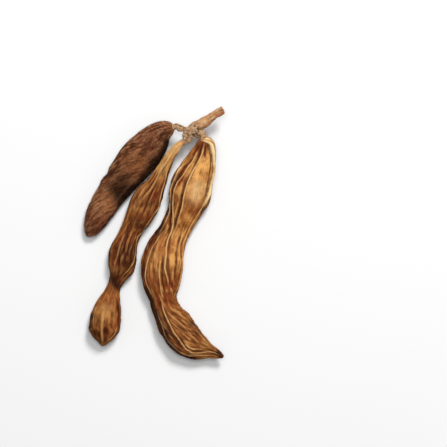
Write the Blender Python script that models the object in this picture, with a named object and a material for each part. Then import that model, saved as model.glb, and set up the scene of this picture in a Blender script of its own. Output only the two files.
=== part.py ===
"""Velvet bean: a cut bunch of three dried pods on one knobby stalk, lying on a table.

The bunch lies as cut. The pods rest on the table on their bellies, and the stalk stands clear
of it. X runs to the right, Y runs from the pods' tips to the cut end of the stalk, and Z is up
from the table. The numbers are millimetres, and MM turns them into Blender's metres.
"""

import math
from typing import NamedTuple

import bmesh
import bpy
import numpy as np

MM = 0.001

# Driving dimensions of the mesh, in millimetres unless they count sides or rings
TOUCH_GAP = 0.35
RING_SPACING = 2.7
STALK_SPACING = 1.2
STEM_SPACING = 0.8
STEM_END_LENGTH = 0.9
TIP_LENGTH = 4.0
TIP_RINGS = 5
TIP_END = 0.02
TANGENT_STEP = 0.01
TABLE_SNAP = 1e-6
POD_SIDES = 24
STALK_SIDES = 14
PEDICEL_SIDES = 12
SMOOTH_ANGLE = math.radians(50)


class Station(NamedTuple):
    """One section of a pod: its middle, half its width, half its depth and its roll.

    The roll is in degrees, and a positive one lifts the side that faces +X.
    """

    x: float
    y: float
    z: float
    half_width: float
    half_depth: float
    roll: float


class Section(NamedTuple):
    """One section of the stalk or of a pod's own stem: its middle and its radius."""

    x: float
    y: float
    z: float
    radius: float


# The short dark pod at the left, from its stem to its blunt tip
LEFT_POD = (
    Station(7.4, 39.9, 8.4, 1.4, 1.3, 0),
    Station(3.6, 38.6, 7.4, 4.2, 2.8, -6),
    Station(-1.3, 33.6, 5.8, 6.8, 4.0, -14),
    Station(-6.2, 28.2, 4.7, 7.7, 4.5, -17),
    Station(-10.7, 22.5, 4.3, 7.0, 4.4, -17),
    Station(-14.9, 16.8, 4.05, 6.2, 4.1, -14),
    Station(-18.9, 11.0, 3.7, 5.4, 3.8, -9),
    Station(-22.0, 5.5, 3.4, 4.6, 3.3, -4),
    Station(-23.8, 1.7, 3.0, 3.4, 2.6, 0),
    Station(-25.7, -1.0, 2.6, 0, 0, 0),
)

# The slender pod in the middle: a long neck, two swellings, a waist and a round bulb
MIDDLE_POD = (
    Station(10.6, 34.2, 8.3, 1.2, 1.2, 0),
    Station(7.9, 31.6, 8.2, 1.5, 1.4, 0),
    Station(5.5, 27.8, 7.7, 1.9, 1.7, 0),
    Station(3.2, 23.6, 7.0, 2.6, 2.2, 4),
    Station(1.0, 18.8, 6.0, 3.6, 2.9, 6),
    Station(-2.1, 13.5, 4.7, 5.2, 3.9, 6),
    Station(-4.5, 8.7, 4.1, 5.5, 4.3, 4),
    Station(-8.2, 2.1, 3.5, 4.2, 3.5, 0),
    Station(-10.1, -1.9, 3.6, 4.2, 3.5, 0),
    Station(-12.1, -8.5, 4.1, 5.3, 4.4, 0),
    Station(-12.9, -13.5, 3.8, 4.8, 3.8, 0),
    Station(-14.2, -17.1, 3.1, 3.0, 2.6, 0),
    Station(-15.3, -19.9, 2.8, 2.4, 2.2, 0),
    Station(-16.4, -23.3, 3.1, 3.2, 2.8, 0),
    Station(-17.5, -27.9, 3.9, 4.9, 3.9, 0),
    Station(-18.6, -32.5, 4.3, 5.8, 4.6, 0),
    Station(-19.1, -36.6, 4.1, 5.8, 4.3, 0),
    Station(-19.2, -39.9, 3.6, 4.2, 3.0, 0),
    Station(-19.0, -43.1, 3.0, 0, 0, 0),
)

# The large ribbed pod at the right: two swellings, a waist and a beaked end
RIGHT_POD = (
    Station(18.6, 36.0, 8.0, 1.9, 1.6, 0),
    Station(19.1, 34.1, 7.4, 3.4, 2.6, 4),
    Station(19.0, 31.0, 6.5, 4.6, 3.4, 8),
    Station(17.7, 27.4, 5.5, 5.8, 4.0, 10),
    Station(15.8, 23.0, 4.7, 7.0, 4.5, 10),
    Station(14.3, 18.1, 4.4, 7.9, 4.7, 9),
    Station(13.3, 13.8, 4.3, 7.9, 4.5, 8),
    Station(11.9, 9.7, 4.1, 6.8, 4.0, 6),
    Station(10.2, 6.0, 3.9, 6.0, 3.4, 4),
    Station(8.0, 1.5, 3.6, 5.7, 3.0, 0),
    Station(5.6, -3.0, 3.8, 6.4, 3.5, -3),
    Station(4.0, -7.4, 4.0, 7.4, 4.2, -5),
    Station(3.2, -11.9, 4.1, 8.0, 4.5, -6),
    Station(2.8, -16.5, 4.0, 7.6, 4.2, -7),
    Station(2.7, -21.1, 3.6, 6.6, 3.5, -8),
    Station(3.3, -25.6, 3.1, 5.2, 2.7, -10),
    Station(4.9, -30.1, 3.0, 5.4, 2.6, -14),
    Station(7.8, -34.9, 3.1, 6.7, 2.9, -18),
    Station(11.5, -39.8, 3.1, 6.7, 3.0, -18),
    Station(16.7, -43.5, 3.3, 5.0, 2.6, -14),
    Station(21.9, -45.5, 4.0, 2.3, 1.5, -8),
    Station(26.2, -47.2, 5.0, 0.4, 0.4, 0),
)

# The stalk, from its cut end through the knobby fork to its last knuckle
STALK = (
    Section(26.0, 46.4, 9.6, 1.5),
    Section(23.5, 45.0, 9.4, 1.45),
    Section(20.7, 43.0, 9.2, 1.7),
    Section(18.1, 41.2, 9.1, 2.0),
    Section(15.6, 39.6, 9.1, 2.5),
    Section(13.9, 38.5, 9.1, 2.4),
    Section(12.6, 37.8, 9.1, 1.6),
    Section(12.0, 37.5, 9.1, 0.6),
)

# The stub of a fallen pod, which hangs from the fork between the two long pods
STUB = (
    Section(14.7, 37.8, 9.0, 1.3),
    Section(14.4, 36.4, 8.7, 1.1),
    Section(14.1, 35.0, 8.2, 1.0),
    Section(13.9, 34.0, 7.8, 0.6),
)

# Each pod's own stem, from inside the fork, where it is cut to fit, to a bend before the pod
LEFT_STEM = (
    Section(13.6, 38.4, 9.1, 1.2),
    Section(11.5, 39.2, 9.1, 1.2),
    Section(9.8, 39.9, 8.9, 1.2),
)
MIDDLE_STEM = (
    Section(12.8, 37.5, 8.95, 1.0),
    Section(11.9, 36.0, 8.7, 1.0),
)
RIGHT_STEM = (
    Section(16.2, 39.0, 9.0, 1.2),
    Section(17.8, 37.7, 8.7, 1.2),
)
STEM_END_RADIUS = 1.3


def smooth_path(knots, points, where):
    """Reads a natural cubic spline through the points, which stand at the knots."""
    step = np.diff(knots)[:, None]
    slope = np.diff(points, axis=0) / step
    matrix = np.eye(len(knots))
    pull = np.zeros_like(points)
    for i in range(1, len(knots) - 1):
        before, after = step[i - 1, 0], step[i, 0]
        matrix[i, i - 1 : i + 2] = before, 2 * (before + after), after
        pull[i] = 6 * (slope[i] - slope[i - 1])
    bend = np.linalg.solve(matrix, pull)
    cell = np.clip(np.searchsorted(knots, where, side="right") - 1, 0, len(step) - 1)
    run = (where - knots[cell])[:, None]
    start = slope[cell] - step[cell] * (2 * bend[cell] + bend[cell + 1]) / 6
    climb = (bend[cell + 1] - bend[cell]) / (6 * step[cell])
    return points[cell] + run * (start + run * (bend[cell] / 2 + run * climb))


def steady(knots, values, where):
    """Reads a cubic through the values at the knots that never swings past them."""
    step = np.diff(knots)
    slope = np.diff(values) / step
    turn = np.concatenate(([slope[0]], np.zeros(len(step) - 1), [slope[-1]]))
    for i in range(1, len(step)):
        if slope[i - 1] * slope[i] > 0:
            near = 2 * step[i] + step[i - 1]
            far = step[i] + 2 * step[i - 1]
            turn[i] = (near + far) / (near / slope[i - 1] + far / slope[i])
    cell = np.clip(np.searchsorted(knots, where, side="right") - 1, 0, len(step) - 1)
    t = (where - knots[cell]) / step[cell]
    rise = values[cell] + (values[cell + 1] - values[cell]) * t * t * (3 - 2 * t)
    lean = turn[cell] * t * (1 - t) ** 2 - turn[cell + 1] * t * t * (1 - t)
    return rise + lean * step[cell]


def lengths_along(points):
    """The distance from the first point to each point, along straight runs between them."""
    return np.concatenate(([0.0], np.cumsum(np.linalg.norm(np.diff(points, axis=0), axis=1))))


def directions(knots, points, where):
    """The unit vectors along the smooth path at the given distances."""
    ahead = smooth_path(knots, points, np.minimum(where + TANGENT_STEP, knots[-1]))
    behind = smooth_path(knots, points, np.maximum(where - TANGENT_STEP, 0.0))
    run = ahead - behind
    return run / np.linalg.norm(run, axis=1)[:, None]


def ring_points(middles, along, half_widths, half_depths, rolls, sides):
    """One ring of points for each section: an ellipse square to the path, rolled about it."""
    across = np.stack((-along[:, 1], along[:, 0], np.zeros(len(along))), axis=1)
    across /= np.linalg.norm(across, axis=1)[:, None]
    up = np.cross(across, along)
    up *= np.sign(up[:, 2])[:, None]
    cosine, sine = np.cos(rolls)[:, None], np.sin(rolls)[:, None]
    across, up = across * cosine + up * sine, up * cosine - across * sine
    angle = np.linspace(0, 2 * math.pi, sides, endpoint=False)
    wide = half_widths[:, None, None] * np.cos(angle)[None, :, None] * across[:, None, :]
    deep = half_depths[:, None, None] * np.sin(angle)[None, :, None] * up[:, None, :]
    return middles[:, None, :] + wide + deep


def closed_skin(name, rings):
    """A closed mesh over the rings, with a flat face at each end."""
    mesh = bmesh.new()
    loops = [[mesh.verts.new(point * MM) for point in ring] for ring in rings]
    sides = len(loops[0])
    for near, far in zip(loops, loops[1:]):
        for i in range(sides):
            j = (i + 1) % sides
            mesh.faces.new((near[i], near[j], far[j], far[i]))
    mesh.faces.new(reversed(loops[0]))
    mesh.faces.new(loops[-1])
    bmesh.ops.recalc_face_normals(mesh, faces=mesh.faces)
    result = bpy.data.meshes.new(name)
    mesh.to_mesh(result)
    mesh.free()
    return result


def cut_flat_on_table(mesh_data):
    """Cuts off what lies below the table, and closes each cut with a flat face."""
    mesh = bmesh.new()
    mesh.from_mesh(mesh_data)
    geometry = [*mesh.verts, *mesh.edges, *mesh.faces]
    cut = bmesh.ops.bisect_plane(
        mesh,
        geom=geometry,
        dist=TABLE_SNAP,
        plane_co=(0, 0, 0),
        plane_no=(0, 0, 1),
        clear_inner=True,
    )
    rim = [item for item in cut["geom_cut"] if isinstance(item, bmesh.types.BMEdge)]
    bmesh.ops.holes_fill(mesh, edges=rim, sides=0)
    bmesh.ops.recalc_face_normals(mesh, faces=mesh.faces)
    mesh.to_mesh(mesh_data)
    mesh.free()


def material(name, colour, roughness):
    """A plain Principled material."""
    result = bpy.data.materials.new(name)
    result.use_nodes = True
    shader = result.node_tree.nodes["Principled BSDF"]
    shader.inputs["Base Color"].default_value = (*colour, 1)
    shader.inputs["Roughness"].default_value = roughness
    shader.inputs["Metallic"].default_value = 0
    return result


def place(name, mesh_data, finish):
    """Puts a named object in the scene, shaded smooth except over its sharp edges."""
    mesh_data.materials.append(finish)
    mesh_data.shade_smooth()
    mesh_data.set_sharp_from_angle(angle=SMOOTH_ANGLE)
    result = bpy.data.objects.new(name, mesh_data)
    bpy.context.scene.collection.objects.link(result)
    return result


def pod(name, stations, finish):
    """A pod's solid, from its stem to its tip, flat where it rests on the table."""
    points = np.array([(s.x, s.y, s.z) for s in stations], float)
    knots = lengths_along(points)
    full = knots[-1]
    count = round((full - TIP_LENGTH) / RING_SPACING)
    body = np.linspace(0, full - TIP_LENGTH, count, endpoint=False)
    tip = full - TIP_LENGTH * (1 - np.sin(np.linspace(0, math.pi / 2, TIP_RINGS)))
    tip[-1] -= TIP_END
    where = np.concatenate((body, tip))
    # Squares of the sizes are read between stations, so that a pod closes in a round tip.
    half_widths = np.sqrt(steady(knots, np.array([s.half_width**2 for s in stations]), where))
    half_depths = np.sqrt(steady(knots, np.array([s.half_depth**2 for s in stations]), where))
    rolls = np.radians(steady(knots, np.array([float(s.roll) for s in stations]), where))
    rings = ring_points(
        smooth_path(knots, points, where),
        directions(knots, points, where),
        half_widths,
        half_depths,
        rolls,
        POD_SIDES,
    )
    mesh_data = closed_skin(name, rings)
    cut_flat_on_table(mesh_data)
    return place(name, mesh_data, finish)


def rod(name, joints, sides, spacing):
    """A closed round rod through the joints, with rings about the given distance apart."""
    points = np.array([(j.x, j.y, j.z) for j in joints], float)
    knots = lengths_along(points)
    where = np.linspace(0, knots[-1], max(3, round(knots[-1] / spacing) + 1))
    radii = steady(knots, np.array([float(j.radius) for j in joints]), where)
    return closed_skin(
        name,
        ring_points(
            smooth_path(knots, points, where),
            directions(knots, points, where),
            radii,
            radii,
            np.zeros(len(where)),
            sides,
        ),
    )


def tool(name, joints, sides, finish):
    """A rod that only shapes other pieces: it is drawn as wire and isn't part of the bunch."""
    result = place(name, rod(name, joints, sides, STALK_SPACING), finish)
    result.hide_render = True
    result.display_type = "WIRE"
    return result


def combine(target, other, operation):
    """Adds a Boolean of the other object to the target."""
    modifier = target.modifiers.new(other.name, "BOOLEAN")
    modifier.operation = operation
    modifier.object = other


def stalk(finish):
    """The main stalk with its knobby fork, joined to the stub of a fallen pod."""
    result = place("stalk", rod("stalk", STALK, STALK_SIDES, STALK_SPACING), finish)
    combine(result, tool("stub_to_join", STUB, PEDICEL_SIDES, finish), "UNION")
    return result


def with_clearance(joints):
    """The same rod thicker by the touching gap, and longer by it at its last end."""
    points = np.array([j[:3] for j in joints], float)
    run = points[-1] - points[-2]
    points[-1] += run / np.linalg.norm(run) * TOUCH_GAP
    return [Section(*point, j.radius + TOUCH_GAP) for point, j in zip(points, joints)]


def pod_stem(name, joints, stations, cutters, finish):
    """A pod's own short stem, fitted to the fork and square to the pod's base."""
    base = np.array(stations[0][:3], float)
    points = np.array([s[:3] for s in stations], float)
    along = directions(lengths_along(points), points, np.zeros(1))[0]
    before_end = Section(*(base - (TOUCH_GAP + STEM_END_LENGTH) * along), STEM_END_RADIUS)
    end = Section(*(base - TOUCH_GAP * along), STEM_END_RADIUS)
    rings = rod(name, (*joints, before_end, end), PEDICEL_SIDES, STEM_SPACING)
    result = place(name, rings, finish)
    for cutter in cutters:
        combine(result, cutter, "DIFFERENCE")
    return result


def main():
    """Clears the scene and builds the bunch."""
    for item in list(bpy.data.objects):
        bpy.data.objects.remove(item)
    dark_velvet = material("dark_velvet", (0.10, 0.045, 0.022), 0.9)
    brown_shell = material("brown_shell", (0.33, 0.17, 0.06), 0.75)
    golden_shell = material("golden_shell", (0.42, 0.21, 0.07), 0.7)
    dry_wood = material("dry_wood", (0.42, 0.30, 0.19), 0.85)
    pod("left_pod", LEFT_POD, dark_velvet)
    pod("middle_pod", MIDDLE_POD, brown_shell)
    pod("right_pod", RIGHT_POD, golden_shell)
    stalk(dry_wood)
    cutters = (
        tool("stalk_clearance", with_clearance(STALK), STALK_SIDES, dry_wood),
        tool("stub_clearance", with_clearance(STUB), PEDICEL_SIDES, dry_wood),
    )
    pod_stem("left_pod_stem", LEFT_STEM, LEFT_POD, cutters, dry_wood)
    pod_stem("middle_pod_stem", MIDDLE_STEM, MIDDLE_POD, cutters, dry_wood)
    pod_stem("right_pod_stem", RIGHT_STEM, RIGHT_POD, cutters, dry_wood)


main()
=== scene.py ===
"""Looks of the velvet bean bunch: ribbed husks, velvet hairs, a knobby stalk and its studio.

Lengths are millimetres until they enter a mesh, where MM turns them into Blender's metres.
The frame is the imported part's: X to the right, Y towards the stalk's cut end, Z up from the table.
"""

from __future__ import annotations

import logging
import math
from dataclasses import dataclass
from enum import Enum
from typing import NamedTuple

import bpy
import numpy as np
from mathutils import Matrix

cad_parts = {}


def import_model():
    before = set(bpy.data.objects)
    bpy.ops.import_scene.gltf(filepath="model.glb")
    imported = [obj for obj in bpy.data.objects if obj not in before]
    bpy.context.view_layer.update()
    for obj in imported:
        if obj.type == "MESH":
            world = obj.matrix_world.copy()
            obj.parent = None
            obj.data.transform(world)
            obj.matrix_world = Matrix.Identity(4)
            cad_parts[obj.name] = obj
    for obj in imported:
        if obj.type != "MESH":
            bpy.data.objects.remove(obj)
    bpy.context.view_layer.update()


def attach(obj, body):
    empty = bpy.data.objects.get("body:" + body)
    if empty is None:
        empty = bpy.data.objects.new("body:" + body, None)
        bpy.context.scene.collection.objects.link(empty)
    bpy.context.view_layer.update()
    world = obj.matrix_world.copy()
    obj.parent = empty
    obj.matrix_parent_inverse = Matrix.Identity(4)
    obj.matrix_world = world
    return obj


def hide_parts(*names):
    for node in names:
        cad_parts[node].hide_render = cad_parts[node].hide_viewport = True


MM = 0.001
TURN = 2.0 * math.pi
ROOT_BODY = "root"
LOG = logging.getLogger("velvet_bean")

# Least length that a vector is divided by, in mm, and least square of a half size, in square mm
TINY = 1e-9
THIN = 1e-6
# Largest share of a pod's half width at which a rib can lie
RIM = 0.995
# How many points or passes are used
LATTICE_ROWS = 128
TRACE_POINTS = 1500
RELIEF_PASSES = 40
HOLLOW_PASSES = 40
KNOB_RINGS, KNOB_SIDES = 14, 20
SPIKE_POINTS = 4
SPIKE_FACES = ((0, 2, 1), (0, 1, 3), (1, 2, 3), (2, 0, 3))
# Share of a pod's rings that crowd on its tip, and the tip's length in mm
TIP_SHARE, TIP_LENGTH = 0.1, 5.0
# Size of a pod's first ring, as a share of its smooth body, and the run in mm over which it widens
MOUTH, MOUTH_RUN = 0.7, 1.4
# Runs in mm over which a pod's relief sets in at its stem and at its tip, and its inset at its stem
CALM_BASE, CALM_TIP, INSET_RUN = 2.5, 3.0, 3.0
# Height or depth of a husk's relief at which its painted highlight and painted shade are full, and how far
# its first end's middle stands out, in mm
HUSK_RELIEF, CAP = 0.15, 0.2
# Radii in mm at which the fibres of the stalk and of the stems are read
STALK_LAY, STEM_LAY = 1.5, 1.2
# Step from a husk's seed to the seed of its dents
DENT_SEED = 500
# Least and greatest lift of a hair, in degrees
LIFT_LIMITS = (3.0, 80.0)

Array = np.ndarray
PlanPoint = tuple[float, float]
Vector = tuple[float, float, float]
Colour = tuple[float, float, float]
Socket = bpy.types.NodeSocket


class Tint(Enum):
    """A colour that a husk can be stained with, named as its mesh attribute is; DARK also carries painted
    shade.
    """

    PALE = "pale"
    DARK = "dark"
    RED = "red"
    GOLD = "gold"
    BROWN = "brown"


class Station(NamedTuple):
    """One section of a pod: its middle, half its width, half its depth and its roll.

    The roll is in degrees, and a positive one lifts the side that faces +X.
    """

    x: float
    y: float
    z: float
    half_width: float
    half_depth: float
    roll: float


class Section(NamedTuple):
    """One section of a stalk: its middle and its radius."""

    x: float
    y: float
    z: float
    radius: float


class Drift(NamedTuple):
    """A slow change along a rib: its mean, its swing and its run in mm.

    The lane is its row of the noise, and seed the step from the husk's seed to its own.
    """

    mean: float
    swing: float
    run: float
    lane: float
    seed: int


UNEVEN = Drift(0.75, 0.35, 5.0, 0.5, 40)
SPREAD = Drift(1.0, 0.3, 2.2, 7.5, 90)
WORN = Drift(1.0, 0.35, 3.0, 3.5, 140)


@dataclass(frozen=True)
class Rib:
    """A line along a pod's faces: a raised rib, or a furrow where its height is negative.

    Attributes:
        points: Plan points that it runs through, from the stem's end, in mm.
        height: How far its crest stands out from the husk, in mm.
        width: How far from its crest it has fallen to about a third, in mm.
        pale: How strongly it is stained pale.
        dark: How strongly it is darkened, as painted shade along its furrow or along a shaded flank.
        red: How strongly it is stained red.
        stain: Width of the stain, as a share of the rib's own.
        shade: How dark the painted shade in the creases along its two sides is.
        fade: Length over which it dies away at each end, in mm.
    """

    points: tuple[PlanPoint, ...]
    height: float
    width: float
    pale: float = 0.0
    dark: float = 0.0
    red: float = 0.0
    stain: float = 0.55
    shade: float = 0.8
    fade: float = 4.0


@dataclass(frozen=True)
class Blotch:
    """A soft patch of colour on a pod, round in plan; a dark one on a flank or in a crease is painted shade.

    Attributes:
        tint: Which colour it adds.
        x: Plan place of its middle, in mm.
        y: Plan place of its middle, in mm.
        radius: Distance at which it has faded to about a third, in mm.
        strength: How much colour it adds at its middle.
        height: How far it swells the husk at its middle, in mm; a negative one presses it in.
    """

    tint: Tint
    x: float
    y: float
    radius: float
    strength: float
    height: float = 0.0


@dataclass(frozen=True)
class Wrinkle:
    """A field of small folds pressed into a husk.

    Attributes:
        across: Size of a fold from side to side, in mm.
        along: Size of a fold along the pod, in mm.
        slant: How far a fold moves along the pod for each mm across it.
        height: How far the folds stand out, in mm.
        start: Share of the pod's length at which the field begins.
        stop: Share of the pod's length at which the field ends.
        ease: Share of the pod's length over which it begins and ends.
    """

    across: float
    along: float
    slant: float
    height: float
    start: float = 0.0
    stop: float = 1.0
    ease: float = 0.04

    def window(self, share: Array) -> Array:
        """How strong the field is at each share of the pod's length."""
        begun = smooth_step(self.start - self.ease, self.start + self.ease, share)
        return begun * (1.0 - smooth_step(self.stop - self.ease, self.stop + self.ease, share))


@dataclass(frozen=True)
class Coat:
    """Hairs on a pod, each a thin closed spike.

    Attributes:
        count: How many hairs there are.
        length: Mean length of a hair, in mm.
        spread: Share by which lengths differ.
        thickness: Radius of a hair at its root, in mm.
        lift: Angle between a hair and the husk, in degrees.
        lay: Angle in the husk between a hair and the pod's own line, in degrees.
        scatter: Spread of both angles, in degrees.
        seed: Seed of the random draws.
        contrast: How much the shades of its tufts differ.
        twist: How much further round the hairs lie at the tip than at the stem, in degrees.
        tuft: Width of a tuft, in mm.
        tuft_run: Length of a tuft along the pod, in mm.
        swirl: How far the hairs' lay wanders, in degrees.
        swirl_size: Size of a patch of one lay round the pod, in mm.
        swirl_run: Length of such a patch along the pod, in mm.
        bristle: How much higher the hairs of the palest tufts stand, in degrees, at a contrast of 1.
        stubble: Length over which the hairs grow to full length from the stem, in mm.
        short: Length of a hair at the stem, as a share of its full one.
        sunk: How deep a hair's root is sunk in the husk, in mm.
        clear: Least height of a hair over the table, in mm.
        shade: Mean shade of a hair, from 0 for dark to 1 for light.
        stray: Spread of single hairs' shades.
        crest: How much lighter the hairs on a crest are, as a painted highlight.
    """

    count: int
    length: float
    spread: float
    thickness: float
    lift: float
    lay: float
    scatter: float
    seed: int
    contrast: float = 0.2
    twist: float = 0.0
    tuft: float = 0.6
    tuft_run: float = 2.2
    swirl: float = 7.0
    swirl_size: float = 5.0
    swirl_run: float = 6.0
    bristle: float = 20.0
    stubble: float = 3.0
    short: float = 0.35
    sunk: float = 0.03
    clear: float = 0.02
    shade: float = 0.42
    stray: float = 0.17
    crest: float = 0.13

    def spikes(self, foot: Array, normal: Array, shaft: Array, spin: Array) -> Array:
        """The hairs' corners: three root points round each foot, and then one tip.

        Args:
            foot: Where each hair leaves the husk.
            normal: The husk's unit normals there.
            shaft: The vectors from the feet to the tips.
            spin: How far each hair's root points are turned about it, in radians.

        Returns:
            The corners, four rows a hair.
        """
        across = unit(np.cross(shaft, normal))
        rise = unit(np.cross(across, shaft))
        root = foot - self.sunk * normal
        turns = [(spin + k * TURN / 3.0)[:, None] for k in range(3)]
        corners = [root + self.thickness * (np.cos(turn) * across + np.sin(turn) * rise) for turn in turns]
        result = np.stack((*corners, foot + shaft), axis=1).reshape(-1, 3)
        result[:, 2] = np.maximum(result[:, 2], self.clear)
        return result


def smooth_step(low: float, high: float, value: Array) -> Array:
    """The share of the way from low to high, eased at both ends: 3t^2 - 2t^3."""
    t = np.clip((value - low) / (high - low), 0.0, 1.0)
    return t * t * (3.0 - 2.0 * t)


def bell(distance: Array, width: float | Array) -> Array:
    """A bell curve: e to the power of minus the squared share of the width."""
    return np.exp(-((distance / width) ** 2))


def unit(vectors: Array) -> Array:
    """The same rows of vectors, each one long."""
    return vectors / np.maximum(np.linalg.norm(vectors, axis=1), TINY)[:, None]


def lattice_noise(x: Array, y: Array, seed: int, wrap: int = 128) -> Array:
    """Smooth noise from -1 to 1 over a plane, which repeats along its first coordinate.

    Random values stand on a square lattice one unit apart, and a point blends the four values
    round it with the weights 6t^5 - 15t^4 + 10t^3 of its place between them.

    Args:
        x: First coordinate, in lattice units.
        y: Second coordinate, in lattice units.
        seed: Seed of the lattice values.
        wrap: How many lattice units of the first coordinate make one turn.

    Returns:
        The noise at each point.
    """
    table = np.random.default_rng(seed).uniform(-1.0, 1.0, (wrap, LATTICE_ROWS))
    column, row = np.floor(x).astype(int), np.floor(y).astype(int)
    wx, wy = (t**3 * (t * (6.0 * t - 15.0) + 10.0) for t in (x - column, y - row))
    left, right = column % wrap, (column + 1) % wrap
    low, high = row % LATTICE_ROWS, (row + 1) % LATTICE_ROWS
    near = table[left, low] * (1 - wx) + table[right, low] * wx
    far = table[left, high] * (1 - wx) + table[right, high] * wx
    return near * (1 - wy) + far * wy


def layered_noise(x: Array, y: Array, seed: int, wrap: int = 128, layers: int = 3) -> Array:
    """Lattice noise in layers, each half as tall and half as wide as the one before.

    Args:
        x: First coordinate, in lattice units of the first layer.
        y: Second coordinate, in the same units.
        seed: Seed of the first layer; each further one adds 1.
        wrap: How many of those units of the first coordinate make one turn.
        layers: How many layers there are.

    Returns:
        The noise at each point, from about -2 to 2.
    """
    total = np.zeros(np.broadcast(x, y).shape)
    for layer in range(layers):
        scale = 2**layer
        total += lattice_noise(x * scale, y * scale, seed + layer, wrap * scale) / scale
    return total


class Grain(NamedTuple):
    """Relief on a rod: its height and run in mm, how many cells go round and its step of the seed."""

    height: float
    run: float
    count: int
    seed: int

    def noise(self, angle: Array, along: Array, seed: int) -> Array:
        """Its noise at each angle round a rod and distance along it."""
        return layered_noise(angle / TURN * self.count, along / self.run, seed + self.seed, self.count)

    def spread(self, x: Array, y: Array, seed: int) -> Array:
        """Its noise over a plane, whose two coordinates are in mm."""
        return layered_noise(x / self.run, y / self.run, seed + self.seed, self.count)


def ring_vectors(angle: Array, side: Array, top: Array, across: Array, up: Array) -> Array:
    """The vectors side * cos(a) * across + top * sin(a) * up, one row of them a ring."""
    flat = (side * np.cos(angle))[:, :, None] * across[:, None, :]
    return flat + (top * np.sin(angle))[:, :, None] * up[:, None, :]


def lay_vectors(radius: float, angle: Array, along: Array) -> Array:
    """Where each point of a rod would stand if it were straight and round, for streaks along it.

    Args:
        radius: Radius of the straight rod, in mm.
        angle: Angles round the rod.
        along: Distances along it, in mm.

    Returns:
        One vector for each point: radius * cos(angle), the distance, radius * sin(angle).
    """
    parts = np.broadcast_arrays(radius * np.cos(angle), along, radius * np.sin(angle))
    return np.stack(parts, axis=-1)


def soften(grid: Array, passes: int) -> Array:
    """Blurs a grid that closes round its rings.

    Formula: along each axis in turn a value becomes half of itself and a quarter of each neighbour,
    again and again.

    Args:
        grid: Values, one row a ring.
        passes: How many times it is blurred.

    Returns:
        The blurred grid.
    """
    result = grid.copy()
    for _ in range(passes):
        result = (2.0 * result + np.roll(result, 1, axis=1) + np.roll(result, -1, axis=1)) / 4.0
        padded = np.concatenate((result[:1], result, result[-1:]))
        result = (2.0 * result + padded[:-2] + padded[2:]) / 4.0
    return result


def steady(knots: Array, values: Array, where: Array) -> Array:
    """Reads a cubic through values at knots that never swings past them.

    Formula: Hermite cubics whose slope at a knot is the weighted harmonic mean of the slopes on
    its two sides, or zero where those have different signs.

    Args:
        knots: Rising distances at which the values stand.
        values: One value for each knot.
        where: Distances to read at.

    Returns:
        The value at each distance.
    """
    step = np.diff(knots)
    slope = np.diff(values) / step
    turn = np.concatenate(([slope[0]], np.zeros(len(step) - 1), [slope[-1]]))
    for i in range(1, len(step)):
        if slope[i - 1] * slope[i] > 0:
            near = 2 * step[i] + step[i - 1]
            far = step[i] + 2 * step[i - 1]
            turn[i] = (near + far) / (near / slope[i - 1] + far / slope[i])
    cell = np.clip(np.searchsorted(knots, where, side="right") - 1, 0, len(step) - 1)
    t = np.clip((where - knots[cell]) / step[cell], 0.0, 1.0)
    rise = values[cell] + (values[cell + 1] - values[cell]) * t * t * (3 - 2 * t)
    lean = turn[cell] * t * (1 - t) ** 2 - turn[cell + 1] * t * t * (1 - t)
    return rise + lean * step[cell]


class Track:
    """A smooth path through points, a natural cubic spline read by the distance along it."""

    def __init__(self, sections: tuple[Station, ...] | tuple[Section, ...]) -> None:
        """Solves for the bend at each section's middle, so that slope and bend run on through it."""
        self.points = np.array([section[:3] for section in sections], float)
        runs = np.linalg.norm(np.diff(self.points, axis=0), axis=1)
        self.knots = np.concatenate(([0.0], np.cumsum(runs)))
        self.length = float(self.knots[-1])
        self.step = runs[:, None]
        self.slope = np.diff(self.points, axis=0) / self.step
        matrix = np.eye(len(self.knots))
        pull = np.zeros_like(self.points)
        for i in range(1, len(self.knots) - 1):
            matrix[i, i - 1 : i + 2] = runs[i - 1], 2 * (runs[i - 1] + runs[i]), runs[i]
            pull[i] = 6 * (self.slope[i] - self.slope[i - 1])
        self.bend = np.linalg.solve(matrix, pull)

    def at(self, where: Array) -> Array:
        """The point of the path at each distance.

        Args:
            where: Distances along the path, in mm.

        Returns:
            The points, one row each.
        """
        cell = np.clip(np.searchsorted(self.knots, where, side="right") - 1, 0, len(self.step) - 1)
        run = (where - self.knots[cell])[:, None]
        bend, after, step = self.bend[cell], self.bend[cell + 1], self.step[cell]
        start = self.slope[cell] - step * (2 * bend + after) / 6
        return self.points[cell] + run * (start + run * (bend / 2 + run * (after - bend) / (6 * step)))

    def along(self, where: Array, nudge: float = 0.01) -> Array:
        """The unit vector along the path at each distance, read over a nudge in mm to each side."""
        run = self.at(np.minimum(where + nudge, self.length)) - self.at(np.maximum(where - nudge, 0.0))
        return run / np.linalg.norm(run, axis=1)[:, None]

    def axes(self, where: Array, rolls: Array) -> tuple[Array, Array, Array]:
        """The directions along, across and up from the path, rolled about it.

        Args:
            where: Distances along the path.
            rolls: Roll at each distance, in radians.

        Returns:
            Unit vectors along the path, to its +X side and upwards.
        """
        along = self.along(where)
        across = np.stack((-along[:, 1], along[:, 0], np.zeros(len(along))), axis=1)
        across /= np.linalg.norm(across, axis=1)[:, None]
        up = np.cross(across, along)
        up *= np.sign(up[:, 2])[:, None]
        cosine, sine = np.cos(rolls)[:, None], np.sin(rolls)[:, None]
        return along, across * cosine + up * sine, up * cosine - across * sine


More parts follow.
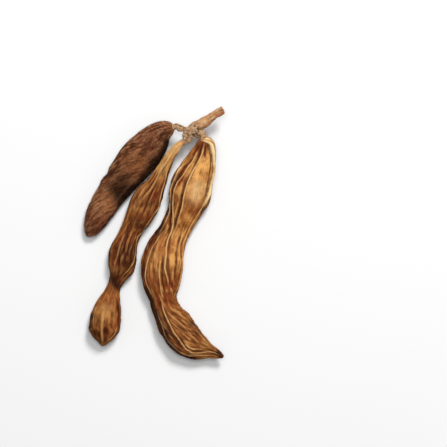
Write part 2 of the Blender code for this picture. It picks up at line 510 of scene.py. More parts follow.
def new_object(name: str, points: Array, faces: list[Array]) -> bpy.types.Object:
    """Makes a mesh object from arrays.

    Args:
        name: Name of the object and its mesh.
        points: Vertex places in mm, one row each.
        faces: Arrays of vertex numbers, one row a face; rows of one array have one length.

    Returns:
        The object, linked to the scene, shaded smooth, at the origin.
    """
    mesh = bpy.data.meshes.new(name)
    corners = np.concatenate([part.ravel() for part in faces]).astype(np.int32)
    sizes = np.concatenate([np.full(len(part), part.shape[1]) for part in faces])
    mesh.vertices.add(len(points))
    mesh.vertices.foreach_set("co", (points * MM).astype(np.float32).ravel())
    mesh.loops.add(len(corners))
    mesh.loops.foreach_set("vertex_index", corners)
    mesh.polygons.add(len(sizes))
    starts = np.concatenate(([0], np.cumsum(sizes)[:-1])).astype(np.int32)
    mesh.polygons.foreach_set("loop_start", starts)
    mesh.update(calc_edges=True)
    mesh.shade_smooth()
    result = bpy.data.objects.new(name, mesh)
    bpy.context.scene.collection.objects.link(result)
    return result


def store(target: bpy.types.Object, name: str, values: Array) -> None:
    """Keeps one number, or one vector of three, for each vertex of a mesh.

    Args:
        target: The mesh object.
        name: Name of the attribute.
        values: Numbers, or rows of three.
    """
    kind, key = ("FLOAT_VECTOR", "vector") if values.ndim == 2 else ("FLOAT", "value")
    layer = target.data.attributes.new(name, kind, "POINT")
    layer.data.foreach_set(key, values.astype(np.float32).ravel())


def tube_faces(rings: int, sides: int) -> list[Array]:
    """Faces of a closed tube whose rings follow each other, with a fan at each end.

    The fans' middles are the two vertices after the rings: the first end's, then the last's.

    Args:
        rings: How many rings there are.
        sides: How many points each ring has.

    Returns:
        An array of four-cornered faces and an array of triangles.
    """
    side = np.arange(sides)
    after = (side + 1) % sides
    ring = np.arange(rings - 1)[:, None] * sides
    start, turn = (ring + side).ravel(), (ring + after).ravel()
    quads = np.stack((start, start + sides, turn + sides, turn), axis=1)
    first, last, base = rings * sides, rings * sides + 1, (rings - 1) * sides
    near_end = np.stack((np.full(sides, first), side, after), axis=1)
    far_end = np.stack((np.full(sides, last), base + after, base + side), axis=1)
    return [quads, np.concatenate((near_end, far_end))]


def with_ends(grid: Array, ends: Array | None = None) -> Array:
    """A tube's values in the order of its vertices: ring after ring, then the two fans' middles.

    Args:
        grid: Values of the rings, one row a ring.
        ends: Values of the two middles, or None for zero.

    Returns:
        One value, or one vector, for each vertex.
    """
    rows = grid.reshape(-1, *grid.shape[2:])
    return np.concatenate((rows, np.zeros((2, *rows.shape[1:])) if ends is None else ends))


def outward(points: Array, faces: list[Array]) -> list[Array]:
    """The same faces, turned over if the closed mesh they make is inside out.

    Formula: six times the volume is the sum of a . (b x c) over the triangles.

    Args:
        points: Vertex places, one row each.
        faces: Arrays of vertex numbers, one row a face.

    Returns:
        The faces, whose normals all point out.
    """
    volume = 0.0
    for part in faces:
        for k in range(1, part.shape[1] - 1):
            a, b, c = points[part[:, 0]], points[part[:, k]], points[part[:, k + 1]]
            volume += float(np.einsum("ij,ij->", a, np.cross(b, c)))
    return faces if volume > 0 else [part[:, ::-1] for part in faces]


def hollows(mesh: bpy.types.Mesh, points: Array, normals: Array, passes: int) -> Array:
    """How deep each point of a mesh lies in a hollow, in the points' own unit.

    Formula: the points are blurred by taking the mean of each one's neighbours, again and again, and
    the depth is how far that moves a point along its normal.

    Args:
        mesh: The mesh whose edges say which points are neighbours.
        points: Its points, one row each.
        normals: Its unit normals, one row each.
        passes: How many times the points are blurred.

    Returns:
        The depth at each point, negative on a crest.
    """
    edges = np.empty(len(mesh.edges) * 2, np.int32)
    mesh.edges.foreach_get("vertices", edges)
    start, stop = edges.reshape(-1, 2).T
    both, other = np.concatenate((start, stop)), np.concatenate((stop, start))
    share = np.bincount(both, minlength=len(points))
    blurred = points.copy()
    for _ in range(passes):
        sums = [np.bincount(both, blurred[other, axis], len(points)) for axis in range(3)]
        blurred = np.stack(sums, axis=1) / share[:, None]
    return np.sum((blurred - points) * normals, axis=1)


def rest_on_table(points: Array, softness: float = 0.08) -> Array:
    """Presses what would lie below the table flat against it.

    Formula: z becomes half of z plus half the root of z squared plus softness squared.

    Args:
        points: Places in mm, on any grid.
        softness: Height in mm over which the press sets in.

    Returns:
        The pressed places.
    """
    result = points.copy()
    height = result[..., 2]
    result[..., 2] = 0.5 * (height + np.sqrt(height**2 + softness**2))
    return result


def shade_of(display: Vector) -> Colour:
    """A colour in linear light from display values of 0 to 255.

    Formula: below 4 percent a share is divided by 12.92, and above it is ((c + 0.055) / 1.055)^2.4.

    Args:
        display: Red, green and blue, from 0 to 255.

    Returns:
        Red, green and blue in linear light, from 0 to 1.
    """
    shares = [value / 255.0 for value in display]
    return tuple(s / 12.92 if s <= 0.04045 else ((s + 0.055) / 1.055) ** 2.4 for s in shares)


class Layer(NamedTuple):
    """A coat of colour: where its pattern begins to show it and shows it fully, its share and its colour.

    The share runs from 0 to 1, and the colour is in display values of 0 to 255.
    """

    pattern: Socket
    begin: float
    full: float
    share: float
    colour: Vector


class Recipe:
    """A material under construction: most methods add nodes and give the last one's output socket."""

    def __init__(self, name: str) -> None:
        """Starts a material with an empty Principled shader."""
        self.material = bpy.data.materials.new(name)
        self.material.use_nodes = True
        self.tree = self.material.node_tree
        self.shader = self.tree.nodes["Principled BSDF"]

    def feed(self, node: bpy.types.Node, socket: str | int, value: object) -> None:
        """Links a socket to a node's input, or sets the input to a plain value.

        Args:
            node: The node.
            socket: Name or number of its input.
            value: A socket, a number, a vector or a colour.
        """
        if isinstance(value, Socket):
            self.tree.links.new(value, node.inputs[socket])
        elif isinstance(value, tuple) and node.inputs[socket].type == "RGBA":
            node.inputs[socket].default_value = (*value, 1.0)
        else:
            node.inputs[socket].default_value = value

    def add(self, kind: str, inputs: dict, output: str | int, **settings: object) -> Socket:
        """Adds a node, sets its properties and feeds its inputs.

        Args:
            kind: Kind of the node.
            inputs: A socket or a plain value for each input that is fed.
            output: Which output is given back.
            settings: Properties of the node.

        Returns:
            The output socket.
        """
        node = self.tree.nodes.new(kind)
        for key, value in settings.items():
            setattr(node, key, value)
        for socket, value in inputs.items():
            self.feed(node, socket, value)
        return node.outputs[output]

    def attribute(self, name: str, output: str = "Fac") -> Socket:
        """Reads a mesh attribute, as a number or, from the output named Vector, as a vector."""
        return self.add("ShaderNodeAttribute", {}, output, attribute_name=name)

    def object_place(self) -> Socket:
        """Reads the place in the object's own coordinates, in metres."""
        return self.add("ShaderNodeTexCoord", {}, "Object")

    def scaled(self, vector: Socket, scale: Vector) -> Socket:
        """A vector scaled along its three axes."""
        return self.add("ShaderNodeMapping", {"Vector": vector, "Scale": scale}, "Vector")

    def noise(self, vector: Socket, scale: float = 1.0, detail: float = 3.0, rough: float = 0.6) -> Socket:
        """A noise pattern from 0 to 1, with a scale in cells for each unit of the vector."""
        inputs = {"Vector": vector, "Scale": scale, "Detail": detail, "Roughness": rough}
        return self.add("ShaderNodeTexNoise", inputs, "Fac")

    def span(self, value: Socket, low: float, high: float, start: float = 0.0, stop: float = 1.0) -> Socket:
        """Carries the range from low to high onto the range from start to stop, eased and clamped."""
        inputs = dict(enumerate((value, low, high, start, stop)))
        return self.add("ShaderNodeMapRange", inputs, "Result", interpolation_type="SMOOTHSTEP")

    def join(self, first: object, second: object, operation: str = "ADD", clamp: bool = False) -> Socket:
        """Two numbers added, or joined by another operation."""
        return self.add("ShaderNodeMath", {0: first, 1: second}, 0, operation=operation, use_clamp=clamp)

    def mix(self, share: Socket, first: object, second: object) -> Socket:
        """Mixes two colours."""
        return self.add("ShaderNodeMix", {0: share, 6: first, 7: second}, 2, data_type="RGBA")

    def painted(self, colour: Socket, *layers: Layer) -> Socket:
        """Lays layers over a colour, in their order.

        Args:
            colour: The colour below them.
            layers: The layers.

        Returns:
            The painted colour.
        """
        for layer in layers:
            share = self.span(layer.pattern, layer.begin, layer.full, 0.0, layer.share)
            colour = self.mix(share, colour, shade_of(layer.colour))
        return colour

    def stained(self, colour: Socket, pattern: Socket, stains: dict[Tint, Vector]) -> Socket:
        """Lays stains over a colour where the mesh has their tints.

        Formula: a tint's share is t + 1.6 * t * (pattern - 0.5), held between 0 and 1.

        Args:
            colour: The colour below them.
            pattern: What breaks up their edges.
            stains: The colour of each tint, in display values, in their order.

        Returns:
            The stained colour.
        """
        for tint, stain in stains.items():
            share = self.attribute(tint.value)
            swing = self.join(self.join(pattern, -0.5), 1.6, "MULTIPLY")
            broken = self.join(share, self.join(share, swing, "MULTIPLY"))
            colour = self.mix(self.join(broken, 0.0, "MAXIMUM", clamp=True), colour, shade_of(stain))
        return colour

    def bump(self, height: Socket, strength: float, distance: float) -> None:
        """Gives the shader a bump from a height pattern; the distance is in mm."""
        inputs = {"Height": height, "Strength": strength, "Distance": distance * MM}
        self.feed(self.shader, "Normal", self.add("ShaderNodeBump", inputs, "Normal"))

    def finish(self, colour: Socket, roughness: object, specular: float) -> bpy.types.Material:
        """Sets the shader's colour and gloss.

        Args:
            colour: The finished colour.
            roughness: A number or a pattern.
            specular: How strongly it mirrors; 0.5 is an ordinary smooth skin.

        Returns:
            The material.
        """
        self.feed(self.shader, "Base Color", colour)
        self.feed(self.shader, "Roughness", roughness)
        self.feed(self.shader, "Specular IOR Level", specular)
        return self.material


@dataclass(frozen=True)
class HuskFinish:
    """The dry husk of a pod: mottled, streaked along its length, with pale ribs, painted shade in furrows,
    creases and hollows and a painted highlight on crests.

    Its colours are in display values of 0 to 255.

    Attributes:
        name: Name of the material.
        deep: Colour of its darker mottles.
        base: Its main colour.
        light: Colour of its lighter streaks and of the painted highlight on crests.
        pale: Colour of ribs and sutures.
        dark: Colour of dark spots and of the painted shade in furrows, creases and hollows and on shaded
            flanks.
        red: Colour of reddish stains.
        gold: Colour of golden stains.
        streak: How strongly the streaks show.
    """

    name: str
    deep: Vector
    base: Vector
    light: Vector
    pale: Vector
    dark: Vector
    red: Vector
    gold: Vector
    streak: float = 0.5

    def build(self) -> bpy.types.Material:
        """Builds the material from the mesh's lay vector, relief and tint attributes."""
        desk = Recipe(self.name)
        lay = desk.attribute("lay", "Vector")
        place = desk.object_place()
        relief = desk.attribute("relief")
        patch = desk.noise(place, scale=150.0, rough=0.55)
        cloud = desk.noise(place, scale=420.0)
        speck = desk.noise(place, scale=1800.0)
        fibre = desk.noise(desk.scaled(lay, (1.3, 0.09, 1.3)), detail=4.0)
        fine = desk.noise(desk.scaled(lay, (4.0, 0.4, 4.0)))
        colour = desk.mix(desk.span(patch, 0.32, 0.60), shade_of(self.deep), shade_of(self.base))
        colour = desk.stained(colour, fine, {Tint.GOLD: self.gold})
        colour = desk.painted(
            colour,
            Layer(cloud, 0.5, 0.68, 0.45, self.light),
            Layer(cloud, 0.5, 0.34, 0.45, self.deep),
        )
        colour = desk.stained(colour, fine, {Tint.BROWN: self.deep, Tint.RED: self.red})
        colour = desk.painted(
            colour,
            Layer(fibre, 0.50, 0.74, self.streak, self.light),
            Layer(fibre, 0.46, 0.26, self.streak, self.deep),
            Layer(fine, 0.54, 0.76, 0.6 * self.streak, self.light),
            Layer(fine, 0.44, 0.24, 0.7 * self.streak, self.deep),
            # Painted highlight on the relief's crests and painted shade in its hollows.
            Layer(relief, 0.05, 1.0, 0.5, self.light),
            Layer(relief, -0.1, -1.0, 0.6, self.dark),
            Layer(speck, 0.58, 0.76, 0.35, self.deep),
        )
        colour = desk.stained(colour, fine, {Tint.DARK: self.dark, Tint.PALE: self.pale})
        desk.bump(desk.join(fine, desk.join(speck, 0.5, "MULTIPLY")), strength=0.6, distance=0.12)
        return desk.finish(colour, desk.span(fibre, 0.3, 0.7, start=0.75, stop=0.58), specular=0.1)


@dataclass(frozen=True)
class HairFinish:
    """Dry velvet hairs, from dark to golden by each hair's own shade.

    Its colours are in display values of 0 to 255.

    Attributes:
        name: Name of the material.
        dark: Colour of the darkest hairs, and of the brown stains and painted shade that hairs take from
            their feet.
        middle: Colour of most hairs.
        light: Colour of the lightest hairs, the painted highlight on crests among them, and of pale stains.
        red: Colour of hairs on reddish stains.
        gold: Colour of hairs on golden stains.
    """

    name: str
    dark: Vector
    middle: Vector
    light: Vector
    red: Vector
    gold: Vector

    def build(self) -> bpy.types.Material:
        """Builds the material from the shade that each hair carries, with its painted highlight, and the
        tints of its foot, with their painted shade.
        """
        desk = Recipe(self.name)
        shade = desk.attribute("shade")
        colour = desk.mix(desk.span(shade, 0.0, 0.5), shade_of(self.dark), shade_of(self.middle))
        colour = desk.painted(colour, Layer(shade, 0.5, 1.0, 1.0, self.light))
        stains = {Tint.GOLD: self.gold, Tint.BROWN: self.dark, Tint.RED: self.red}
        colour = desk.stained(colour, shade, {**stains, Tint.DARK: self.dark, Tint.PALE: self.light})
        return desk.finish(colour, roughness=0.6, specular=0.1)


@dataclass(frozen=True)
class WoodFinish:
    """The dry skin of the stalk and stems: fibrous, greyish on its knobs, with painted shade in its pits,
    grooves and hollows.

    Its colours are in display values of 0 to 255.

    Attributes:
        name: Name of the material.
        base: Its main colour.
        grey: Colour of weathered knobs.
        warm: Colour of the warmer stretches, and of the painted shade on one side of the stalk and in its
            dents.
        dark: Colour of dark grain and specks, and of the painted shade in pits, grooves and hollows.
    """

    name: str
    base: Vector
    grey: Vector
    warm: Vector
    dark: Vector

    def build(self) -> bpy.types.Material:
        """Builds the material from the mesh's lay vector, relief and tint attributes."""
        desk = Recipe(self.name)
        place = desk.object_place()
        relief = desk.attribute("relief")
        patch = desk.noise(place, scale=420.0, rough=0.55)
        cloud = desk.noise(place, scale=1100.0, detail=4.0, rough=0.65)
        speck = desk.noise(place, scale=2200.0)
        fibre = desk.noise(desk.scaled(desk.attribute("lay", "Vector"), (3.0, 0.5, 3.0)), detail=4.0)
        warmth = desk.span(patch, 0.48, 0.7, 0.0, 0.7)
        colour = desk.painted(
            desk.mix(warmth, shade_of(self.base), shade_of(self.warm)),
            Layer(relief, 0.0, 0.9, 0.6, self.grey),
            Layer(fibre, 0.52, 0.3, 0.75, self.warm),
            Layer(fibre, 0.42, 0.26, 0.5, self.dark),
        )
        stains = {Tint.RED: self.warm, Tint.PALE: self.grey, Tint.DARK: self.dark}
        colour = desk.stained(colour, fibre, stains)
        colour = desk.painted(
            colour,
            Layer(cloud, 0.52, 0.66, 0.6, self.base),
            Layer(cloud, 0.47, 0.35, 0.55, self.warm),
            # Painted shade where the relief sinks into grooves, pits and hollows.
            Layer(relief, -0.1, -0.9, 0.85, self.dark),
            Layer(speck, 0.55, 0.72, 0.35, self.dark),
        )
        desk.bump(desk.join(fibre, desk.join(speck, 0.7, "MULTIPLY")), strength=0.7, distance=0.12)
        return desk.finish(colour, roughness=0.82, specular=0.15)


class Feet(NamedTuple):
    """Where hairs stand on a pod: each one's cell of the grid and its place in it.

    A cell lies between a ring and the next, and between a side and the one after. The place in it
    runs from 0 to 1, u along the pod and v round it.
    """

    ring: Array
    side: Array
    after: Array
    u: Array
    v: Array

    def read(self, values: Array) -> Array:
        """Reads a grid at the feet, blending the four corners of each one's own cell.

        Args:
            values: Numbers or vectors, one row of them a ring.

        Returns:
            One number or vector for each hair.
        """
        shape = (-1, *([1] * (values.ndim - 2)))
        a, b = self.u.reshape(shape), self.v.reshape(shape)
        near = values[self.ring, self.side] * (1 - b) + values[self.ring, self.after] * b
        far = values[self.ring + 1, self.side] * (1 - b) + values[self.ring + 1, self.after] * b
        return near * (1 - a) + far * a


@dataclass
class Husk:
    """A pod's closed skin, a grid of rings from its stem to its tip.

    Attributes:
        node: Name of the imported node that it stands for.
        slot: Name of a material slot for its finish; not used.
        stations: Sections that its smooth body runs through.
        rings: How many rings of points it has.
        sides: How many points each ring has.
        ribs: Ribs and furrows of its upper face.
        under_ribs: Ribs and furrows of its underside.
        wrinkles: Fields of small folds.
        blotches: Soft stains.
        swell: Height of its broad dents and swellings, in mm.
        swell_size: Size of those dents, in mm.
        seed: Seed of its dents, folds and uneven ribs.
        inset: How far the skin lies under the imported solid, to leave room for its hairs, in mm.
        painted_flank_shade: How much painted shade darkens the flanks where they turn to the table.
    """

    node: str
    slot: str
    stations: tuple[Station, ...]
    rings: int
    sides: int
    ribs: tuple[Rib, ...]
    under_ribs: tuple[Rib, ...]
    wrinkles: tuple[Wrinkle, ...]
    blotches: tuple[Blotch, ...]
    swell: float
    swell_size: float
    seed: int
    inset: float = 0.0
    painted_flank_shade: float = 0.35

    def __post_init__(self) -> None:
        """Works out the smooth body that ribs, folds and hairs stand on."""
        self.track = Track(self.stations)
        full = self.track.length
        tip_rings = round(TIP_SHARE * self.rings)
        body = np.linspace(0.0, full - TIP_LENGTH, self.rings - tip_rings, endpoint=False)
        turn = np.linspace(0.0, math.pi / 2, tip_rings + 1)[:-1]
        self.where = np.concatenate((body, full - TIP_LENGTH * (1.0 - np.sin(turn))))
        wide, deep, roll = np.array([station[3:] for station in self.stations], float).T
        self.half_width, self.half_depth = self.half_size(wide), self.half_size(deep)
        self.roll = np.radians(steady(self.track.knots, roll, self.where))
        _, *plane = self.track.axes(self.where, self.roll)
        self.angle = np.linspace(0.0, TURN, self.sides, endpoint=False)
        wide, deep = self.half_width[:, None], self.half_depth[:, None]
        self.base = self.track.at(self.where)[:, None, :] + ring_vectors(self.angle, wide, deep, *plane)
        facing = ring_vectors(self.angle, 1.0 / wide, 1.0 / deep, *plane)
        self.facing = unit(facing.reshape(-1, 3)).reshape(facing.shape)
        self.run = np.linalg.norm(np.roll(self.base, -1, axis=1) - self.base, axis=2)
        self.girth = self.run.sum(axis=1)
        self.mean_girth = float(np.mean(self.girth))
        self.round = np.cumsum(self.run, axis=1) - self.run
        self.points = self.base

    def half_size(self, sizes: Array) -> Array:
        """Reads the half sizes of the stations at the rings, drawn in by the inset and at the mouth.

        Formula: the square of a half size runs as a steady cubic, so that the tip comes out round.

        Args:
            sizes: One half size for each station, in mm.

        Returns:
            One half size for each ring, in mm.
        """
        size = np.sqrt(np.maximum(steady(self.track.knots, sizes**2, self.where), THIN))
        shrink = np.clip(self.where / INSET_RUN, 0.0, 1.0) * self.inset
        size *= 1.0 - shrink / (size + self.inset + THIN)
        return size * (MOUTH + (1.0 - MOUTH) * np.sqrt(smooth_step(-0.1, MOUTH_RUN, self.where)))

    def trace(self, points: tuple[PlanPoint, ...], least: float = 0.3) -> tuple[Array, Array]:
        """Reads plan points as distances along the pod and offsets to its +X side.

        Args:
            points: Plan points, in mm.
            least: Least distance between two of them along the pod, in mm; a closer one is left out.

        Returns:
            Rising distances along the pod, and the sideways offset at each.
        """
        fine = np.linspace(0.0, self.track.length, TRACE_POINTS)
        line = self.track.at(fine)
        run = self.track.along(fine)
        found = []
        for x, y in points:
            near = int(np.argmin(np.hypot(line[:, 0] - x, line[:, 1] - y)))
            side = np.array((-run[near, 1], run[near, 0]))
            offset = (x - line[near, 0]) * side[0] + (y - line[near, 1]) * side[1]
            found.append((fine[near], offset / np.hypot(*side)))
        found.sort()
        kept = [found[0]]
        for item in found[1:]:
            if item[0] - kept[-1][0] > least:
                kept.append(item)
        distances, offsets = np.array(kept).T
        return distances, offsets

    def distance_from(self, rib: Rib, under: bool) -> tuple[Array, Array]:
        """How far each point lies from a rib, round the skin, and how strong the rib is there.

        A sideways offset v stands on the ellipse where v = A cos(a + p), with A the root of the
        squares of the half width's and half depth's shares in the plan, and p their angle.

        Args:
            rib: The rib.
            under: Whether the rib runs along the underside.

        Returns:
            Signed distances in mm on the grid, and a share from 0 to 1 for each ring.
        """
        knots, offsets = self.trace(rib.points)
        offset = steady(knots, offsets, np.clip(self.where, knots[0], knots[-1]))
        flat, tall = self.half_width * np.cos(self.roll), self.half_depth * np.sin(self.roll)
        reach, lean = np.hypot(flat, tall), np.arctan2(tall, flat)
        turn = np.arccos(np.clip(offset / reach, -RIM, RIM))
        angle = (-turn if under else turn) - lean
        cell = (angle % TURN) / TURN * self.sides
        low = np.floor(cell).astype(int) % self.sides
        row = np.arange(len(self.where))
        place = self.round[row, low] + (cell - np.floor(cell)) * self.run[row, low]
        half = self.girth[:, None] / 2.0
        distance = (self.round - place[:, None] + half) % self.girth[:, None] - half
        start = smooth_step(knots[0] - 0.5, knots[0] + rib.fade, self.where)
        stop = 1.0 - smooth_step(knots[-1] - rib.fade, knots[-1] + 0.5, self.where)
        return distance, start * stop

    def drift(self, kind: Drift, number: int) -> Array:
        """A rib's slow change along the pod: mean + swing * noise.

        Args:
            kind: What changes and how.
            number: The rib's place in its list.

        Returns:
            A column with one value for each ring.
        """
        lane = np.full(len(self.where), kind.lane)
        noise = layered_noise(self.where / kind.run, lane, self.seed + kind.seed + number)
        return (kind.mean + kind.swing * noise)[:, None]

    def ribbed(self, rib: Rib, number: int, under: bool) -> Array:
        """Stains the skin along a rib, and paints shade into the creases on its two sides.

        Formula: at a distance d from its crest a rib of width w is 1.3 bell(d, w) - 0.3 bell(d, 2.6 w)
        high, so that it stands in a shallow trough, and the painted shade of its creases is a bell of
        width 0.5 w round d = 1.5 w.

        Args:
            rib: The rib.
            number: Its place in its list, which makes its unevenness its own.
            under: Whether it runs along the underside.

        Returns:
            The height that it adds to the skin, on the grid.
        """
        distance, strength = self.distance_from(rib, under)
        strong = strength[:, None] * self.drift(UNEVEN, number)
        stain = bell(distance, rib.stain * rib.width * self.drift(SPREAD, number)) * strong
        crease_shade = bell(np.abs(distance) - 1.5 * rib.width, 0.5 * rib.width) * strong
        # A rib's dark stain and the darkening of its creases are painted shade.
        for tint, values in (
            (Tint.PALE, rib.pale * self.drift(WORN, number) * stain),
            (Tint.DARK, rib.dark * stain),
            (Tint.RED, rib.red * stain),
            (Tint.DARK, rib.pale * rib.shade * crease_shade),
        ):
            self.tints[tint] = np.maximum(self.tints[tint], values)
        profile = 1.3 * bell(distance, rib.width) - 0.3 * bell(distance, 2.6 * rib.width)
        return rib.height * profile * strong

    def folds(self) -> Array:
        """The wrinkles' height: layered noise round and along the pod, sheared by its slant."""
        total = np.zeros(self.run.shape)
        for number, fold in enumerate(self.wrinkles):
            wrap = max(6, round(self.mean_girth / fold.across))
            turns = self.angle / TURN + fold.slant * self.where[:, None] / self.mean_girth
            seed = self.seed + 10 * number
            pattern = layered_noise(turns * wrap, self.where[:, None] / fold.along, seed, wrap)
            total += fold.height * pattern * fold.window(self.where / self.track.length)[:, None]
        return total

    def dents(self) -> Array:
        """The broad dents and swellings' height: two layers of noise round and along the pod."""
        wrap = max(4, round(self.mean_girth / self.swell_size))
        along = self.where[:, None] / self.swell_size
        return self.swell * layered_noise(self.angle / TURN * wrap, along, self.seed + DENT_SEED, wrap, 2)

    def shape(self) -> None:
        """Raises ribs, folds and dents from the smooth body, and stains the skin along them, with painted
        shade in their creases.

        The flanks get painted shade as the skin turns down, from where the upward part of its unit normal
        is 0.5 to where it is -0.15.
        """
        self.tints = {tint: np.zeros(self.run.shape) for tint in Tint}
        height = np.zeros(self.run.shape)
        for under, group in ((False, self.ribs), (True, self.under_ribs)):
            for number, rib in enumerate(group):
                height += self.ribbed(rib, number, under)
        for blotch in self.blotches:
            gap = np.hypot(self.base[:, :, 0] - blotch.x, self.base[:, :, 1] - blotch.y)
            near = bell(gap, blotch.radius)
            self.tints[blotch.tint] += blotch.strength * near
            height += blotch.height * near
        # Painted shade on the flanks that turn down to the table.
        self.tints[Tint.DARK] += self.painted_flank_shade * smooth_step(0.5, -0.15, self.facing[:, :, 2])
        calm = smooth_step(0.0, CALM_BASE, self.where)
        calm = calm * smooth_step(0.1, CALM_TIP, self.track.length - self.where)
        height = (height + self.folds() + self.dents()) * calm[:, None]
        self.relief = np.clip((height - soften(height, RELIEF_PASSES)) / HUSK_RELIEF, -1.0, 1.0)
        self.points = rest_on_table(self.base + height[:, :, None] * self.facing)

    def build(self, finish: bpy.types.Material) -> bpy.types.Object:
        """Makes the skin's mesh, closes both ends and stores what its finish reads.

        Args:
            finish: The husk's material.

        Returns:
            The skin's object.
        """
        self.shape()
        first = self.track.at(np.zeros(1)) - CAP * self.track.along(np.zeros(1))
        last = rest_on_table(self.track.at(np.array([self.track.length])))
        points = with_ends(self.points, np.concatenate((first, last)))
        result = new_object(self.node + "_husk", points, outward(points, tube_faces(*self.run.shape)))
        ends = np.array(((0.0, 0.0, 0.0), (0.0, self.track.length, 0.0)))
        radius = self.mean_girth / TURN
        store(result, "lay", with_ends(lay_vectors(radius, self.angle, self.where[:, None]), ends))
        store(result, "relief", with_ends(self.relief))
        for tint, values in self.tints.items():
            store(result, tint.value, with_ends(values))
        result.data.materials.append(finish)
        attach(result, ROOT_BODY)
        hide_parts(self.node)
        return result

    def frames(self) -> tuple[Array, Array, Array, Array]:
        """The skin's own directions at its grid points.

        Returns:
            The steps along the pod and round it, the unit vectors out of it and the cells' areas.
        """
        grid = self.points
        along = np.gradient(grid, axis=0)
        around = (np.roll(grid, -1, axis=1) - np.roll(grid, 1, axis=1)) / 2.0
        out = np.cross(along, around)
        area = np.linalg.norm(out, axis=2)
        out /= np.maximum(area, TINY)[:, :, None]
        middle = grid.mean(axis=1, keepdims=True)
        out *= np.sign(np.sum(out * (grid - middle), axis=2, keepdims=True).mean(axis=(0, 1)))
        return along, around, out, area

    def hairs(self, coat: Coat, finish: bpy.types.Material) -> bpy.types.Object:
        """Grows a coat of hairs on the skin.

        A hair points to cos(lift) * (cos(lay) * forward + sin(lay) * sideways) + sin(lift) * normal.

        Args:
            coat: How many hairs there are and how they lie.
            finish: The hairs' material.

        Returns:
            The coat's object.
        """
        draws = np.random.default_rng(coat.seed)
        along, around, out, area = self.frames()
        chance = area[:-1] / area[:-1].sum()
        ring, side = np.divmod(draws.choice(chance.size, coat.count, p=chance.ravel()), self.sides)
        feet = Feet(ring, side, (side + 1) % self.sides, *draws.random((2, coat.count)))
        normal, forward = unit(feet.read(out)), unit(feet.read(along))
        sideways = unit(np.cross(normal, forward))
        sideways *= np.sign(np.sum(sideways * feet.read(around), axis=1))[:, None]
        turns = (side + feet.v) / self.sides
        distance = self.where[ring] + feet.u * (self.where[ring + 1] - self.where[ring])
        share = distance / self.track.length
        wrap = max(4, round(self.mean_girth / coat.swirl_size))
        swirl = layered_noise(turns * wrap, distance / coat.swirl_run, coat.seed + 1, wrap, 2)
        scatter = coat.scatter * draws.standard_normal((2, coat.count))
        lay = np.radians(coat.lay + coat.twist * share + coat.swirl * swirl + scatter[0])
        # A tuft runs along the mean lay of the hairs between the stem and itself
        lean = np.tan(np.radians(coat.lay + 0.5 * coat.twist * share)) / self.mean_girth
        tufts = max(6, round(self.mean_girth / coat.tuft))
        drawn = (turns - lean * distance) * tufts
        tuft = layered_noise(drawn, distance / coat.tuft_run, coat.seed + 2, tufts)
        rise = coat.lift + coat.bristle * coat.contrast * tuft + 0.5 * scatter[1]
        lift = np.radians(np.clip(rise, *LIFT_LIMITS))
        length = coat.length * (1.0 + coat.spread * draws.uniform(-1.0, 1.0, coat.count))
        length *= coat.short + (1.0 - coat.short) * smooth_step(0.0, coat.stubble, distance)
        flat = np.cos(lay)[:, None] * forward + np.sin(lay)[:, None] * sideways
        point = unit(np.cos(lift)[:, None] * flat + np.sin(lift)[:, None] * normal)
        spin = draws.uniform(0.0, TURN, coat.count)
        points = coat.spikes(feet.read(self.points), normal, length[:, None] * point, spin)
        start = SPIKE_POINTS * np.arange(coat.count)[:, None]
        faces = np.concatenate([start + np.array(face) for face in SPIKE_FACES])
        result = new_object(self.node + "_hairs", points, outward(points, [faces]))
        # A hair on a crest of the husk is shaded lighter: a painted highlight.
        shade = coat.shade + coat.contrast * tuft + coat.crest * feet.read(self.relief)
        shade = np.clip(shade + coat.stray * draws.standard_normal(coat.count), 0.0, 1.0)
        store(result, "shade", np.repeat(shade, SPIKE_POINTS))
        # The hairs take their feet's tints, and with the DARK tint the husk's painted shade.
        for tint, values in self.tints.items():
            store(result, tint.value, np.repeat(np.clip(feet.read(values), 0.0, 1.0), SPIKE_POINTS))
        result.data.materials.append(finish)
        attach(result, ROOT_BODY)
        return result


class Rod:
    """A round rod through sections, whose rings can be thickened by any field over them."""

    def __init__(self, sections: tuple[Section, ...], spacing: float, sides: int) -> None:
        """Reads the sections as rings a given distance apart."""
        self.track = Track(sections)
        self.where = np.linspace(0.0, self.track.length, max(4, round(self.track.length / spacing)))
        radii = np.array([section.radius for section in sections], float)
        self.radius = steady(self.track.knots, radii, self.where)
        self.sides = sides
        self.angle = np.linspace(0.0, TURN, sides, endpoint=False)
        self.middle = self.track.at(self.where)
        _, self.across, self.up = self.track.axes(self.where, np.zeros(len(self.where)))

    def closed(self, swell: float | Array = 0.0) -> tuple[Array, list[Array]]:
        """The rod's points and faces, with a fan over each end.

        A ring's points stand at middle + (radius + swell) * (cos(a) * across + sin(a) * up).

        Args:
            swell: How much thicker it is than its sections say, in mm.

        Returns:
            The points, one row each, and the faces.
        """
        radius = np.broadcast_to(self.radius[:, None] + swell, (len(self.where), self.sides))
        points = self.middle[:, None, :] + ring_vectors(self.angle, radius, radius, self.across, self.up)
        points = with_ends(points, self.middle[[0, -1]])
        return points, outward(points, tube_faces(len(self.where), self.sides))


